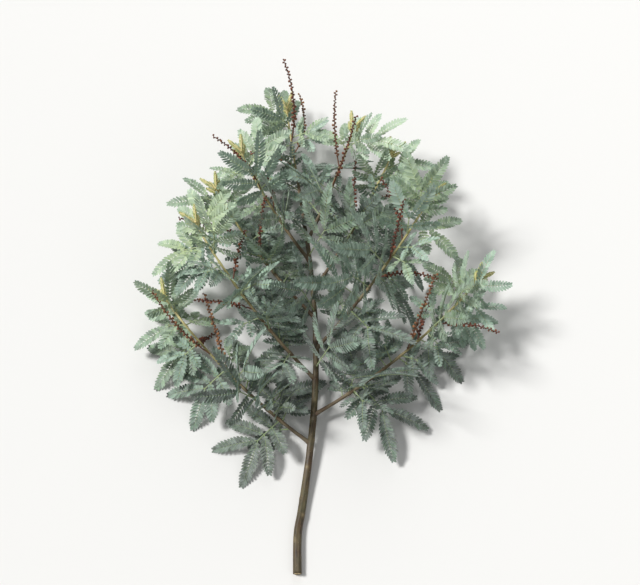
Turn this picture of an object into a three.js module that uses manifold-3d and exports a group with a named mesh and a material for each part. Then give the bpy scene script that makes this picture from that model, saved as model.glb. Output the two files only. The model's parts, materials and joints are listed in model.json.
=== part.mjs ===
// Acacia sprig, cut from the shrub and lying on a surface. Millimetres, +Z up.
// The cut end of the stem points to -Y and the leafy top to +Y. Every leaf is twice
// divided: a rachis bears pairs of pinnae, and each pinna bears two rows of leaflets.
import * as THREE from 'three';
import Module from 'manifold-3d';

const wasm = await Module();
wasm.setup();

const up = new THREE.Vector3(0, 0, 1);
const forward = new THREE.Vector3(0, 1, 0);
const { lerp, degToRad: radians } = THREE.MathUtils;
const goldenAngle = 137.5;

// Gap between solids that touch
const seatGap = 0.3;

// Main stem: a flat stretch near the cut end rests on the surface, then it climbs
const stem = {
  cutEnd: { x: -17.5, y: -212.8 },
  restLength: 30,
  archLength: 255,
  height: 30,
  bow: 14,
  cutRadius: 3.6,
  topRadius: 1.7,
  sides: 8,
  archRings: 15,
};

// Leafy side shoots: place along the arch (0 to 1), side (-1 left, 1 right), length,
// angle away from the stem, angle up from the surface, and leaves and racemes to bear
const shoots = [
  { name: 'shoot_1', place: 0.28, side: -1, length: 158, swing: 64, rise: 6, leaves: 13, racemeLimit: 3 },
  { name: 'shoot_2', place: 0.37, side: 1, length: 164, swing: 60, rise: 3, leaves: 13, racemeLimit: 3 },
  { name: 'shoot_3', place: 0.48, side: -1, length: 150, swing: 52, rise: 14, leaves: 12, racemeLimit: 2 },
  { name: 'shoot_4', place: 0.58, side: 1, length: 146, swing: 50, rise: 14, leaves: 12, racemeLimit: 3 },
  { name: 'shoot_5', place: 0.68, side: -1, length: 128, swing: 44, rise: 3, leaves: 11, racemeLimit: 2 },
  { name: 'shoot_6', place: 0.77, side: 1, length: 126, swing: 42, rise: 5, leaves: 11, racemeLimit: 2 },
  { name: 'shoot_7', place: 0.87, side: -1, length: 98, swing: 36, rise: 18, leaves: 9, racemeLimit: 2 },
  { name: 'shoot_8', place: 0.94, side: 1, length: 94, swing: 36, rise: 16, leaves: 9, racemeLimit: 2 },
];
const leader = { name: 'leader', length: 100, leaves: 10, racemeLimit: 3, goal: [-0.15, 1, 0.1] };

// Twigs lean towards a goal: a little outward (spread), ahead, and down (sag)
const twig = {
  baseRadius: 1.6, tipRadius: 0.8, sides: 5, rings: 8, lean: 0.5, spread: 0.12, sag: 0.1, low: 9,
};

// Leaf: lengths in mm, angles in degrees. The first pair of pinnae has firstShare of the
// last pair's length and stands nearAngle off the rachis; the last pair stands farAngle.
const leaf = {
  petiole: 4.5,
  internode: 8.5,
  lastCell: 6,
  ribHalf: 0.55,
  ribRise: 0.6,
  rachisDroop: 8,
  rachisRoom: 4,
  rachisHalfWidth: 6,
  pinnaLength: 38,
  pinnaHalfWidth: 7,
  pinnaDroop: 13,
  firstShare: 0.66,
  fanShape: 0.8,
  firstLift: 0.19,
  lastLift: 0.07,
  shingle: 0.25,
  bladeHalf: 0.45,
  cup: 0.14,
  sweep: 0.45,
  low: 0.45,
  layer: 2.6,
  core: 0.75,
};
const grownLeaf = { nearAngle: 82, farAngle: 34, teeth: 3 };

// Leaves on a twig: the turn goes on by the golden angle, a leaf near the tip stands
// closer to the twig than one further in, and fewer than half have two pairs of pinnae
const foliage = {
  outermost: 0.975,
  span: 0.84,
  crowding: 1.25,
  tipAngle: 36,
  baseAngle: 66,
  tipSize: 0.8,
  baseSize: 1.02,
  twoPairs: 0.42,
};

// Single leaves that the main stem bears itself, between its shoots
const fronds = [
  { name: 'frond_1', place: 0.52, turn: 40 },
  { name: 'frond_2', place: 0.7, turn: -30 },
  { name: 'frond_3', place: 0.89, turn: 25 },
];

// The folded young leaf, pale and narrow, that ends every shoot
const youngLeaf = {
  petiole: 4,
  internode: 5,
  lastCell: 3,
  pairs: 2,
  teeth: 2,
  size: 1,
  nearAngle: 36,
  farAngle: 25,
  pinnaLength: 15,
  pinnaHalfWidth: 2,
  pinnaDroop: -30,
};

// Bud racemes: beads of flower buds along a thin red-brown axis
const raceme = { length: 62, axisRadius: 0.6, rings: 6, firstBud: 0.2, buds: 10, budRadius: 1.7, low: 2.6 };

// Clearance that a leaf or a raceme keeps to everything placed before it, and the room
// that each kind is given: half widths and heights of the boxes round it
const clearance = 0.35;
const room = { stalk: 0.9, halfHeight: 1.2, rise: 0.3, endSpare: 0.6, raceme: 2.7 };

// First seed of each kind; every leaf, tip and raceme has its own seed after it
const seeds = { leaf: 480, tip: 500, frond: 700, raceme: 900 };

const colours = {
  bark: { color: '#5d4a35', roughness: 0.8 },
  leaf: { color: '#86a096', roughness: 0.65 },
  bud: { color: '#7c3526', roughness: 0.7 },
  young: { color: '#d3cb86', roughness: 0.6 },
};

// Seeded draws: the same seed always gives the same run of numbers from 0 to 1
function seededDraw(seed) {
  let state = seed * 7919 + 12345;
  const draw = () => {
    state = (state * 48271) % 2147483647;
    return state / 2147483647;
  };
  draw();
  draw();
  return (low, high) => low + (high - low) * draw();
}

// A rib grows step by step. It droops away from its upper side, curls sideways, and
// lies down on the surface where it would pass through it.
function growRib(start, heading, outward, { lengths, droop = 0, curl = 0, lean, goal, low, halfWidth = 0 }) {
  const frames = [];
  const at = start.clone();
  const along = heading.clone().normalize();
  const out = outward.clone().addScaledVector(along, -outward.dot(along)).normalize();
  const side = new THREE.Vector3().crossVectors(along, out);
  frames.push({ at: at.clone(), along: along.clone(), out: out.clone(), side: side.clone() });
  for (const length of lengths) {
    along.addScaledVector(out, -radians(droop) / lengths.length);
    along.addScaledVector(side, radians(curl) / lengths.length);
    if (goal) {
      along.addScaledVector(goal, lean / lengths.length);
    }
    const before = at.clone();
    at.addScaledVector(along.normalize(), length);
    at.z = Math.max(at.z, low);
    along.subVectors(at, before).normalize();
    layFlat(out, at.z - low, halfWidth);
    out.addScaledVector(along, -out.dot(along)).normalize();
    side.crossVectors(along, out);
    frames.push({ at: at.clone(), along: along.clone(), out: out.clone(), side: side.clone() });
  }
  return frames;
}

// A heading that would end below the surface is raised, so that the rib just reaches it
function landGently(heading, height, length, droop) {
  heading.z = Math.max(heading.z, radians(droop) / 2 - height / length);
}

// Close to the surface a blade tilts only as far as its edge allows
function layFlat(out, height, halfWidth) {
  const tilt = Math.hypot(out.x, out.y);
  if (height < halfWidth * tilt) {
    const allowed = height / halfWidth;
    const upOrDown = out.z < 0 ? -1 : 1;
    out.set(out.x * allowed / tilt, out.y * allowed / tilt, upOrDown * Math.sqrt(1 - allowed * allowed));
  }
}

// Main stem

function stemPoint(t) {
  const ease = t * t * (3 - 2 * t);
  const x = stem.cutEnd.x + stem.bow * Math.sin(Math.PI * t * 0.9);
  const y = stem.cutEnd.y + stem.restLength + stem.archLength * t;
  const rest = stem.cutRadius * Math.cos(Math.PI / stem.sides);
  return new THREE.Vector3(x, y, rest + (stem.height - rest) * ease);
}

function stemFrames() {
  const points = [stemPoint(0).add(new THREE.Vector3(0, -stem.restLength, 0))];
  for (let k = 0; k <= stem.archRings; k += 1) {
    points.push(stemPoint(k / stem.archRings));
  }
  return points.map((at, k) => {
    const next = points[Math.min(k + 1, points.length - 1)];
    const along = k < 2 ? forward.clone() : next.clone().sub(points[k - 1]).normalize();
    const side = new THREE.Vector3().crossVectors(along, up).normalize();
    return { at, along, side, out: new THREE.Vector3().crossVectors(side, along) };
  });
}

// Side shoots

function shootFrames(plan) {
  const start = stemPoint(plan.place);
  const ahead = stemPoint(plan.place + 0.01).sub(start).normalize();
  const heading = ahead.applyAxisAngle(up, -plan.side * radians(plan.swing));
  heading.z += Math.tan(radians(plan.rise));
  const goal = new THREE.Vector3(plan.side * twig.spread, 1, -twig.sag);
  const lengths = new Array(twig.rings).fill(plan.length / twig.rings);
  return growRib(start, heading, up, { lengths, lean: twig.lean, goal, low: twig.low });
}

function leaderFrames() {
  const start = stemPoint(1);
  const heading = stemPoint(1).sub(stemPoint(0.97)).normalize();
  start.addScaledVector(heading, seatGap);
  const goal = new THREE.Vector3(...leader.goal);
  const lengths = new Array(twig.rings).fill(leader.length / twig.rings);
  return growRib(start, heading, up, { lengths, lean: twig.lean, goal, low: twig.low });
}

// A point and frame part of the way along a rib
function frameAt(frames, fraction) {
  const place = fraction * (frames.length - 1);
  const k = Math.min(Math.floor(place), frames.length - 2);
  const a = frames[k];
  const b = frames[k + 1];
  const at = a.at.clone().lerp(b.at, place - k);
  const along = a.along.clone().lerp(b.along, place - k).normalize();
  const out = a.out.clone().lerp(b.out, place - k);
  out.addScaledVector(along, -out.dot(along)).normalize();
  return { at, along, out, side: new THREE.Vector3().crossVectors(along, out) };
}

// Leaves

// How wide a pinna is along its length, as a share of its widest part
function featherWidth(t) {
  return Math.min(1, 0.28 + 2.1 * t) * Math.min(1, 0.52 + 1.9 * (1 - t));
}

// The plan of one leaf: frames of its rachis and of each pinna
function planLeaf(start, heading, outward, form) {
  const { size, pairs, teeth, low } = form;
  const lengths = [form.petiole];
  for (let k = 1; k < pairs; k += 1) {
    lengths.push(form.internode * size);
  }
  lengths.push(form.lastCell * size);
  const reachOut = heading.clone().normalize();
  const length = lengths.reduce((sum, step) => sum + step);
  landGently(reachOut, start.z - low - form.rachisRoom, length, form.rachisDroop);
  const rachis = growRib(start, reachOut, outward, {
    lengths, droop: form.rachisDroop, low, halfWidth: form.rachisHalfWidth,
  });
  const pinnae = [];
  for (let pair = 0; pair < pairs; pair += 1) {
    const reach = pairs > 1 ? pair / (pairs - 1) : 1;
    const share = pairs > 1 ? lerp(form.firstShare, 1, reach) : 1;
    const root = frameAt(rachis, (pair + 1.5) / (pairs + 1));
    for (const side of [-1, 1]) {
      pinnae.push(planPinna(root, pair, side, reach, share, form, teeth));
    }
  }
  return { rachis, pinnae, form };
}

function planPinna(root, pair, side, reach, share, form, teeth) {
  const { size, draw } = form;
  const angle = lerp(form.farAngle, form.nearAngle, (1 - reach) ** form.fanShape) + draw(-2, 2);
  const low = form.low + form.layer * (form.pairs - 1 - pair);
  const heading = root.along.clone().multiplyScalar(Math.cos(radians(angle)));
  heading.addScaledVector(root.side, side * Math.sin(radians(angle)));
  const lift = lerp(form.firstLift, form.lastLift, reach) + draw(-0.03, 0.03);
  heading.addScaledVector(root.out, lift).normalize();
  const outward = root.out.clone().addScaledVector(root.along, -Math.sin(radians(angle)) * form.shingle);
  outward.addScaledVector(root.side, side * Math.cos(radians(angle)) * form.shingle);
  const length = form.pinnaLength * size * share * draw(0.94, 1.06);
  const count = reach < 0.4 && teeth > 2 ? teeth - 1 : teeth;
  const halfWidth = form.pinnaHalfWidth * (0.8 + 0.2 * share) * Math.min(1, size + 0.08);
  const droop = form.pinnaDroop * (0.6 + 0.6 * reach) + draw(-4, 4);
  landGently(heading, root.at.z - low, length, droop);
  const rib = growRib(root.at, heading, outward, {
    lengths: new Array(2 * count).fill(length / (2 * count)),
    droop,
    curl: side * draw(-6, -2),
    low,
    halfWidth,
  });
  return { rib, pair, side, count, length, halfWidth };
}

// Oriented boxes round a leaf, for keeping clear of what is there already
function leafBoxes(plan) {
  const end = lastOf(plan.rachis);
  const { stalk, halfHeight, rise } = room;
  const boxes = [boxAround(frameAt(plan.rachis, 0.35), plan.rachis[1].at, end.at, stalk, stalk)];
  for (const { rib, count, halfWidth } of plan.pinnae) {
    const near = rib[Math.round(count / 2)];
    const far = rib[Math.round(count * 1.5)];
    boxes.push(boxAround(near, rib[1].at, rib[count].at, halfWidth, halfHeight, rise));
    boxes.push(boxAround(far, rib[count].at, lastOf(rib).at, halfWidth, halfHeight, rise));
  }
  return boxes;
}

function boxAround(frame, from, to, halfWidth, halfHeight, rise = 0) {
  const along = to.clone().sub(from);
  const halfLength = along.length() / 2;
  along.normalize();
  const side = new THREE.Vector3().crossVectors(along, frame.out).normalize();
  const out = new THREE.Vector3().crossVectors(side, along);
  const centre = from.clone().add(to).multiplyScalar(0.5).addScaledVector(out, rise);
  const radius = Math.hypot(halfLength, halfWidth, halfHeight);
  const half = [halfLength + room.endSpare, halfWidth, halfHeight];
  return { centre, axes: [along, side, out], half, radius };
}

function tubeBoxes(frames, stride, halfWidth) {
  const boxes = [];
  for (let k = 0; k + 1 < frames.length; k += stride) {
    const end = Math.min(k + stride, frames.length - 1);
    boxes.push(boxAround(frames[k], frames[k].at, frames[end].at, halfWidth, halfWidth));
  }
  return boxes;
}

// Two boxes overlap unless one of fifteen directions separates them
function boxesOverlap(a, b) {
  const gap = b.centre.clone().sub(a.centre);
  if (gap.length() > a.radius + b.radius + clearance + 1) {
    return false;
  }
  const directions = [...a.axes, ...b.axes];
  for (const first of a.axes) {
    for (const second of b.axes) {
      const cross = new THREE.Vector3().crossVectors(first, second);
      if (cross.length() > 1e-3) {
        directions.push(cross.normalize());
      }
    }
  }
  for (const direction of directions) {
    if (Math.abs(gap.dot(direction)) > reachOf(a, direction) + reachOf(b, direction) + clearance) {
      return false;
    }
  }
  return true;
}

function reachOf(box, direction) {
  return box.axes.reduce((sum, axis, k) => sum + box.half[k] * Math.abs(axis.dot(direction)), 0);
}

function isClear(boxes, ownTwig, rooted) {
  return boxes.every((box, k) => placed.every((other) => {
    const isRoot = other.owner === ownTwig && (k === 0 || (rooted && k % 2 === 1));
    return isRoot || !boxesOverlap(box, other);
  }));
}

// Neighbouring pinnae on one side of a leaf may touch at their edges but don't cross.
// Box 0 is the rachis; then each pinna has a near and a far box, and the sides take turns.
function isUncrossed(boxes) {
  const cores = boxes.map((box) => ({ ...box, half: [box.half[0], box.half[1] * leaf.core, 0.1] }));
  for (let k = 1; k + 4 < cores.length; k += 1) {
    const otherHalf = k % 2 === 1 ? k + 5 : k + 3;
    if (boxesOverlap(cores[k], cores[k + 4]) || boxesOverlap(cores[k], cores[otherHalf])) {
      return false;
    }
  }
  return true;
}

function lastOf(list) {
  return list[list.length - 1];
}

// Where the whole sprig's pieces lie

const placed = [];

function keep(boxes, owner) {
  for (const box of boxes) {
    box.owner = owner;
    placed.push(box);
  }
}

// Tries are ordered from the natural place outward: 0, 1, -1, 2, -2 and so on
function swingOf(attempt) {
  return (attempt % 2 === 0 ? -1 : 1) * Math.ceil(attempt / 2);
}

// Heading away from a twig at a turn round it (0 is up) and an angle off its line
function headingFrom(frame, turn, angle) {
  const across = frame.out.clone().multiplyScalar(Math.cos(radians(turn)));
  across.addScaledVector(frame.side, Math.sin(radians(turn)));
  const heading = frame.along.clone().multiplyScalar(Math.cos(radians(angle)));
  return heading.addScaledVector(across, Math.sin(radians(angle)));
}

// Ways to bear a leaf at one turn: change of angle, and share of its climb or fall kept
const leafTries = [[0, 0.5], [16, 0.5], [-14, 0.6], [4, 0.9], [22, 0.8]];

function placeLeaf(frames, ownTwig, fraction, turn, angle, form) {
  const frame = frameAt(frames, fraction);
  for (const shrink of [1, 0.86, 0.72]) {
    for (let swing = 0; swing < 23; swing += 1) {
      for (const [bend, climb] of leafTries) {
        const heading = headingFrom(frame, turn + swingOf(swing) * 8, angle + bend);
        heading.z *= climb;
        const outward = frame.along.clone().multiplyScalar(0.1).addScaledVector(up, 1);
        outward.addScaledVector(frame.side, form.roll);
        const trial = { ...form, draw: seededDraw(form.seed), size: form.size * shrink };
        const plan = planLeaf(frame.at, heading, outward, trial);
        const boxes = leafBoxes(plan);
        if (isUncrossed(boxes) && isClear(boxes, ownTwig, form.fused)) {
          keep(boxes, ownTwig);
          return plan;
        }
      }
    }
  }
  return null;
}

function placeRaceme(frames, ownTwig, fraction, turn, seed) {
  const draw = seededDraw(seed);
  const frame = frameAt(frames, fraction);
  const length = raceme.length * draw(0.75, 1.15);
  for (let attempt = 0; attempt < 60; attempt += 1) {
    const turnTry = turn + swingOf(attempt) * 7;
    const heading = headingFrom(frame, turnTry, 34 + (attempt % 3) * 9);
    const rib = growRib(frame.at, heading, up, {
      lengths: new Array(raceme.rings).fill(length / raceme.rings),
      droop: draw(-25, 55), curl: draw(-65, 65), low: raceme.low,
    });
    const boxes = tubeBoxes(rib, 1, room.raceme);
    if (isClear(boxes, ownTwig, false)) {
      keep(boxes, `${ownTwig} raceme`);
      return { rib, seed, length };
    }
  }
  return null;
}

// Growth of the whole sprig

function fold(turn) {
  const wrapped = ((turn + 180) % 360 + 360) % 360 - 180;
  return wrapped * 0.74;
}

function growSprig() {
  const trunk = stemFrames();
  keep(tubeBoxes(trunk, 1, stem.cutRadius), 'main_stem');
  const branches = [];
  for (const plan of shoots) {
    branches.push({ ...plan, frames: shootFrames(plan) });
  }
  branches.push({ ...leader, frames: leaderFrames() });
  for (const branch of branches) {
    keep(tubeBoxes(branch.frames.slice(1), 2, twig.baseRadius), branch.name);
    branch.racemes = [];
    branch.plans = [];
  }
  growTips(branches);
  growRacemes(branches);
  const single = growFronds(trunk);
  growLeaves(branches);
  return { trunk, branches, fronds: single };
}

function growTips(branches) {
  branches.forEach((branch, index) => {
    const end = lastOf(branch.frames);
    const start = end.at.clone().addScaledVector(end.along, seatGap);
    const form = { ...leaf, ...youngLeaf, draw: seededDraw(seeds.tip + index) };
    const heading = end.along.clone().addScaledVector(up, 0.8);
    branch.tip = planLeaf(start, heading, end.along, form);
    const petiole = tubeBoxes(branch.tip.rachis.slice(0, 2), 1, 1);
    keep([...leafBoxes(branch.tip), ...petiole], `${branch.name} tip`);
  });
}

function growRacemes(branches) {
  branches.forEach((branch, index) => {
    for (let k = 0; k < branch.racemeLimit; k += 1) {
      const seed = seeds.raceme + index * 10 + k;
      const draw = seededDraw(seed);
      const fraction = 0.5 + 0.36 * (k / branch.racemeLimit) + draw(0, 0.06);
      const turn = fold(draw(-180, 180));
      const plan = placeRaceme(branch.frames, branch.name, fraction, turn, seed);
      if (plan) {
        branch.racemes.push(plan);
      }
    }
  });
}

function growLeaves(branches) {
  const most = Math.max(...branches.map((branch) => branch.leaves));
  for (let rank = 0; rank < most; rank += 1) {
    branches.forEach((branch, index) => {
      if (rank < branch.leaves) {
        const seed = seeds.leaf + index * 20 + rank;
        const draw = seededDraw(seed);
        const inward = (rank + 0.25) / branch.leaves;
        const fraction = foliage.outermost - foliage.span * inward ** foliage.crowding;
        const form = { ...leaf, ...grownLeaf, seed, fused: true };
        form.pairs = draw(0, 1) < foliage.twoPairs ? 2 : 3;
        form.roll = draw(-0.25, 0.25);
        form.size = lerp(foliage.tipSize, foliage.baseSize, Math.min(1, inward * 2));
        form.size *= draw(0.94, 1.06);
        const turn = fold(goldenAngle * rank + index * 70 + draw(-10, 10));
        const angle = lerp(foliage.tipAngle, foliage.baseAngle, Math.min(1, inward * 1.6));
        const plan = placeLeaf(branch.frames, branch.name, fraction, turn, angle, form);
        if (plan) {
          branch.plans.push(plan);
        }
      }
    });
  }
}

function growFronds(trunk) {
  return fronds.map((frond, index) => {
    const seed = seeds.frond + index;
    const draw = seededDraw(seed);
    const form = { ...leaf, ...grownLeaf, seed, pairs: 3, size: 0.95, roll: draw(-0.3, 0.3) };
    form.petiole += 2.4 * stem.topRadius;
    const fraction = (1 + stem.archRings * frond.place) / (stem.archRings + 1);
    return { name: frond.name, plan: placeLeaf(trunk, 'main_stem', fraction, frond.turn, 48, form) };
  }).filter((frond) => frond.plan);
}

// Closed shells of points and triangles

function addPoint(shell, point) {
  shell.points.push(point.x, point.y, point.z);
  return shell.points.length / 3 - 1;
}

function solidOf(shell) {
  return new wasm.Manifold(new wasm.Mesh({
    numProp: 3,
    vertProperties: new Float32Array(shell.points),
    triVerts: new Uint32Array(shell.faces),
  }));
}

// Panel j of a ring cell, between ring k and the next one
function addPanel(shell, near, far, j) {
  const next = (j + 1) % near.length;
  shell.faces.push(near[j], far[j], far[next], near[j], far[next], near[next]);
}

// Tapered tube with flat ends; its lowest side is flat
function tubeSolid(frames, radii, sides) {
  const shell = { points: [], faces: [] };
  const rings = frames.map((frame, k) => {
    const radius = radii[k];
    return Array.from({ length: sides }, (_, j) => {
      const angle = (2 * Math.PI * (j + 0.5)) / sides;
      const point = frame.at.clone().addScaledVector(frame.side, radius * Math.cos(angle));
      return addPoint(shell, point.addScaledVector(frame.out, radius * Math.sin(angle)));
    });
  });
  for (let k = 0; k + 1 < rings.length; k += 1) {
    for (let j = 0; j < sides; j += 1) {
      addPanel(shell, rings[k], rings[k + 1], j);
    }
  }
  const end = lastOf(rings);
  for (let j = 1; j + 1 < sides; j += 1) {
    shell.faces.push(rings[0][0], rings[0][j], rings[0][j + 1], end[0], end[j + 1], end[j]);
  }
  return solidOf(shell);
}

// A rachis is a three-sided rib; its upper sides open into the pinnae
function leafSolid(plan) {
  const shell = { points: [], faces: [] };
  const rings = plan.rachis.map((frame) => {
    const low = frame.at.clone().addScaledVector(frame.out, -leaf.ribRise / 2);
    return [
      addPoint(shell, low.clone().addScaledVector(frame.side, leaf.ribHalf)),
      addPoint(shell, frame.at.clone().addScaledVector(frame.out, leaf.ribRise)),
      addPoint(shell, low.clone().addScaledVector(frame.side, -leaf.ribHalf)),
    ];
  });
  const first = rings[0];
  const last = lastOf(rings);
  shell.faces.push(first[0], first[1], first[2], last[0], last[2], last[1]);
  for (let j = 0; j < 3; j += 1) {
    addPanel(shell, rings[0], rings[1], j);
  }
  for (let k = 1; k + 1 < rings.length; k += 1) {
    addPanel(shell, rings[k], rings[k + 1], 2);
  }
  for (const pinna of plan.pinnae) {
    const near = rings[pinna.pair + 1];
    const far = rings[pinna.pair + 2];
    const root = pinna.side > 0
      ? { topLeft: far[1], topRight: near[1], lowRight: near[0], lowLeft: far[0] }
      : { topLeft: near[1], topRight: far[1], lowRight: far[2], lowLeft: near[2] };
    addPinna(shell, pinna, root);
  }
  return solidOf(shell);
}

// A pinna: opposite leaflets cut to a three-sided rib, which narrows to an edge at its tip
function addPinna(shell, pinna, root) {
  const { rib, count, halfWidth } = pinna;
  let { topLeft, topRight, lowRight, lowLeft } = root;
  for (let k = 1; k <= count; k += 1) {
    const frame = rib[2 * k];
    const isTip = k === count;
    const low = frame.at.clone().addScaledVector(frame.out, -leaf.bladeHalf);
    const top = addPoint(shell, frame.at.clone().addScaledVector(frame.out, leaf.bladeHalf));
    const right = addPoint(shell, low.clone().addScaledVector(frame.side, isTip ? 0 : leaf.bladeHalf));
    const left = isTip ? right : addPoint(shell, low.clone().addScaledVector(frame.side, -leaf.bladeHalf));
    const leftTip = addLeaflet(shell, rib, 2 * k - 0.8, -1, halfWidth);
    const rightTip = addLeaflet(shell, rib, 2 * k - 0.8, 1, halfWidth);
    addLobe(shell, [topLeft, top, left, lowLeft], leftTip);
    addLobe(shell, [lowRight, right, top, topRight], rightTip);
    shell.faces.push(lowLeft, right, lowRight);
    if (topLeft !== topRight) {
      shell.faces.push(topLeft, topRight, top);
    }
    if (!isTip) {
      shell.faces.push(lowLeft, left, right);
    }
    topLeft = top;
    topRight = top;
    lowLeft = left;
    lowRight = right;
  }
}

// Four faces from an opening in the rib to the tip of its leaflet
function addLobe(shell, opening, tip) {
  opening.forEach((corner, k) => shell.faces.push(corner, opening[(k + 1) % 4], tip));
}

function addLeaflet(shell, rib, place, side, halfWidth) {
  const t = place / (rib.length - 1);
  const frame = frameAt(rib, Math.min(t, 1));
  const width = halfWidth * featherWidth(t);
  const tip = frame.at.clone().addScaledVector(frame.side, side * width);
  tip.addScaledVector(frame.along, leaf.sweep * width);
  tip.addScaledVector(frame.out, leaf.cup * width);
  tip.z = Math.max(tip.z, leaf.bladeHalf);
  return addPoint(shell, tip);
}

// Racemes: the axis swells into a bud and narrows again, with the buds turned round it
function racemeSolid({ rib, seed }) {
  const draw = seededDraw(seed + 7);
  const frames = [rib[0]];
  const radii = [raceme.axisRadius];
  const pitch = (1 - raceme.firstBud) / raceme.buds;
  for (let k = 0; k < raceme.buds; k += 1) {
    const t = raceme.firstBud + pitch * k;
    const radius = raceme.budRadius * (1.1 - 0.35 * t) * draw(0.88, 1.12);
    const bud = frameAt(rib, t + pitch / 2);
    const away = headingFrom(bud, goldenAngle * k + draw(-20, 20), 90);
    bud.at.addScaledVector(away, radius * 0.45);
    frames.push(frameAt(rib, t), bud);
    radii.push(raceme.axisRadius * 0.8, radius);
  }
  frames.push(lastOf(rib));
  radii.push(raceme.axisRadius * 0.6);
  return tubeSolid(frames, radii, 3);
}

// Nodes

const sprig = new THREE.Group();

function addNode(name, solid, look) {
  const mesh = solid.getMesh();
  const geometry = new THREE.BufferGeometry();
  geometry.setAttribute('position', new THREE.BufferAttribute(mesh.vertProperties, 3));
  geometry.setIndex(new THREE.BufferAttribute(mesh.triVerts, 1));
  geometry.computeVertexNormals();
  const node = new THREE.Mesh(geometry, new THREE.MeshStandardMaterial({ ...look, metalness: 0 }));
  node.name = name;
  sprig.add(node);
}

function radiiAlong(frames, base, tip) {
  return frames.map((_, k) => lerp(base, tip, k / (frames.length - 1)));
}

const grown = growSprig();
const trunkRadii = radiiAlong(grown.trunk, stem.cutRadius, stem.topRadius);
const trunkSeat = tubeSolid(grown.trunk, trunkRadii.map((radius) => radius + seatGap), stem.sides);
addNode('main_stem', tubeSolid(grown.trunk, trunkRadii, stem.sides), colours.bark);

for (const { name, plan } of grown.fronds) {
  addNode(name, leafSolid(plan).subtract(trunkSeat), colours.leaf);
}

let racemeCount = 0;
for (const branch of grown.branches) {
  const radii = radiiAlong(branch.frames, twig.baseRadius, twig.tipRadius);
  const seat = tubeSolid(branch.frames, radii.map((radius) => radius + seatGap), twig.sides);
  let solid = tubeSolid(branch.frames, radii, twig.sides);
  if (branch.place) {
    solid = solid.subtract(trunkSeat);
  }
  for (const plan of branch.plans) {
    solid = solid.add(leafSolid(plan));
  }
  addNode(branch.name, solid, colours.leaf);
  addNode(`${branch.name}_young_tip`, leafSolid(branch.tip), colours.young);
  for (const plan of branch.racemes) {
    racemeCount += 1;
    addNode(`raceme_${racemeCount}`, racemeSolid(plan).subtract(seat), colours.bud);
  }
}

export default sprig;
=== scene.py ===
# Acacia sprig, cut and laid on a pale floor. The stem, twigs, leaves, young tips and bud
# strings grow by the same rule as the solids that they replace. While things grow, lengths
# are millimetres and angles degrees. A mesh is in metres.
import json
from collections import namedtuple
from math import ceil, cos, hypot, pi, radians, sin, sqrt, tan

import bpy
import numpy as np
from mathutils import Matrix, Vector

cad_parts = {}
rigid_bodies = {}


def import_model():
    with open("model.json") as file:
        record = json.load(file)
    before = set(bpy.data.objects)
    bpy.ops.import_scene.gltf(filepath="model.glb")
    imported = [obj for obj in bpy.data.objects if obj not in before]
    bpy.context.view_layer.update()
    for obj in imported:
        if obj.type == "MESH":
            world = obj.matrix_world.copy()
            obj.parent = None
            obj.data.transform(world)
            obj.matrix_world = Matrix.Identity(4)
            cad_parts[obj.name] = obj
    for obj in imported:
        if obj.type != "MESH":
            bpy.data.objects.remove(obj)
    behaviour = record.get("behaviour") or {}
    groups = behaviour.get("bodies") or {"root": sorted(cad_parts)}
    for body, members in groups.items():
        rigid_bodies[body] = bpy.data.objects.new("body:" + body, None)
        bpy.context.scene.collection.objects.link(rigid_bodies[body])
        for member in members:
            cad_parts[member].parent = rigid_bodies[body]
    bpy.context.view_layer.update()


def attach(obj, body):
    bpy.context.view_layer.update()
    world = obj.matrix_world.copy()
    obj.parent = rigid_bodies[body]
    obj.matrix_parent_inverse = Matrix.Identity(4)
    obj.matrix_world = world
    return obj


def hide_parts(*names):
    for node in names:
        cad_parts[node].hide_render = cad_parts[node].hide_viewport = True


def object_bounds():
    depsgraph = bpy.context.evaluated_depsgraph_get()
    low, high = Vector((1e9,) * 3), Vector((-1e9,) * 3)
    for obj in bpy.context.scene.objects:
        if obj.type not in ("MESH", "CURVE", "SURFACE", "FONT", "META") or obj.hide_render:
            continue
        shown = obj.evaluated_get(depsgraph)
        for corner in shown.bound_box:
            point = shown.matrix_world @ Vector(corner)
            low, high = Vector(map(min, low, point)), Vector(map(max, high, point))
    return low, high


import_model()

mm = 0.001
up = (0.0, 0.0, 1.0)
forward = (0.0, 1.0, 0.0)
goldenAngle = 137.5
clearance = 0.35  # kept between what grows and what is there already
seatGap = 0.3  # between solids that touch

# Where the seeds of each kind begin, and the steps from branch to branch. A leaf's own seed is
# added to pinnaTone, and a bud string's to dried.
seeds = {
    "leaf": 480, "tip": 500, "frond": 700, "raceme": 900, "filler": 1200, "step": 20, "racemeStep": 10,
    "leafTone": 60, "frondTone": 300, "pinnaTone": 31, "innerTip": 150, "dried": 3, "budKnobs": 40,
    "leafTree": 0, "tipTree": 50, "frondTree": 80, "bark": 21, "row": 10,
}

RibFrame = namedtuple("RibFrame", "at along out side")
Box = namedtuple("Box", "centre axes half radius")


# Small vector sums on plain tuples

def plus(a, b, share=1.0):
    return (a[0] + b[0] * share, a[1] + b[1] * share, a[2] + b[2] * share)


def times(a, factor):
    return (a[0] * factor, a[1] * factor, a[2] * factor)


def dot(a, b):
    return a[0] * b[0] + a[1] * b[1] + a[2] * b[2]


def cross(a, b):
    return (a[1] * b[2] - a[2] * b[1], a[2] * b[0] - a[0] * b[2], a[0] * b[1] - a[1] * b[0])


def unit(a):
    return times(a, 1 / (sqrt(dot(a, a)) or 1))


def between(a, b, share):
    return plus(a, plus(b, a, -1), share)


# Direction a, swung towards b by an angle in radians
def swung(a, b, angle):
    return plus(times(a, cos(angle)), b, sin(angle))


def blendOf(low, high, share):
    return (1 - share) * low + share * high


def evenSteps(length, count):
    return [length / count] * count


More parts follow.
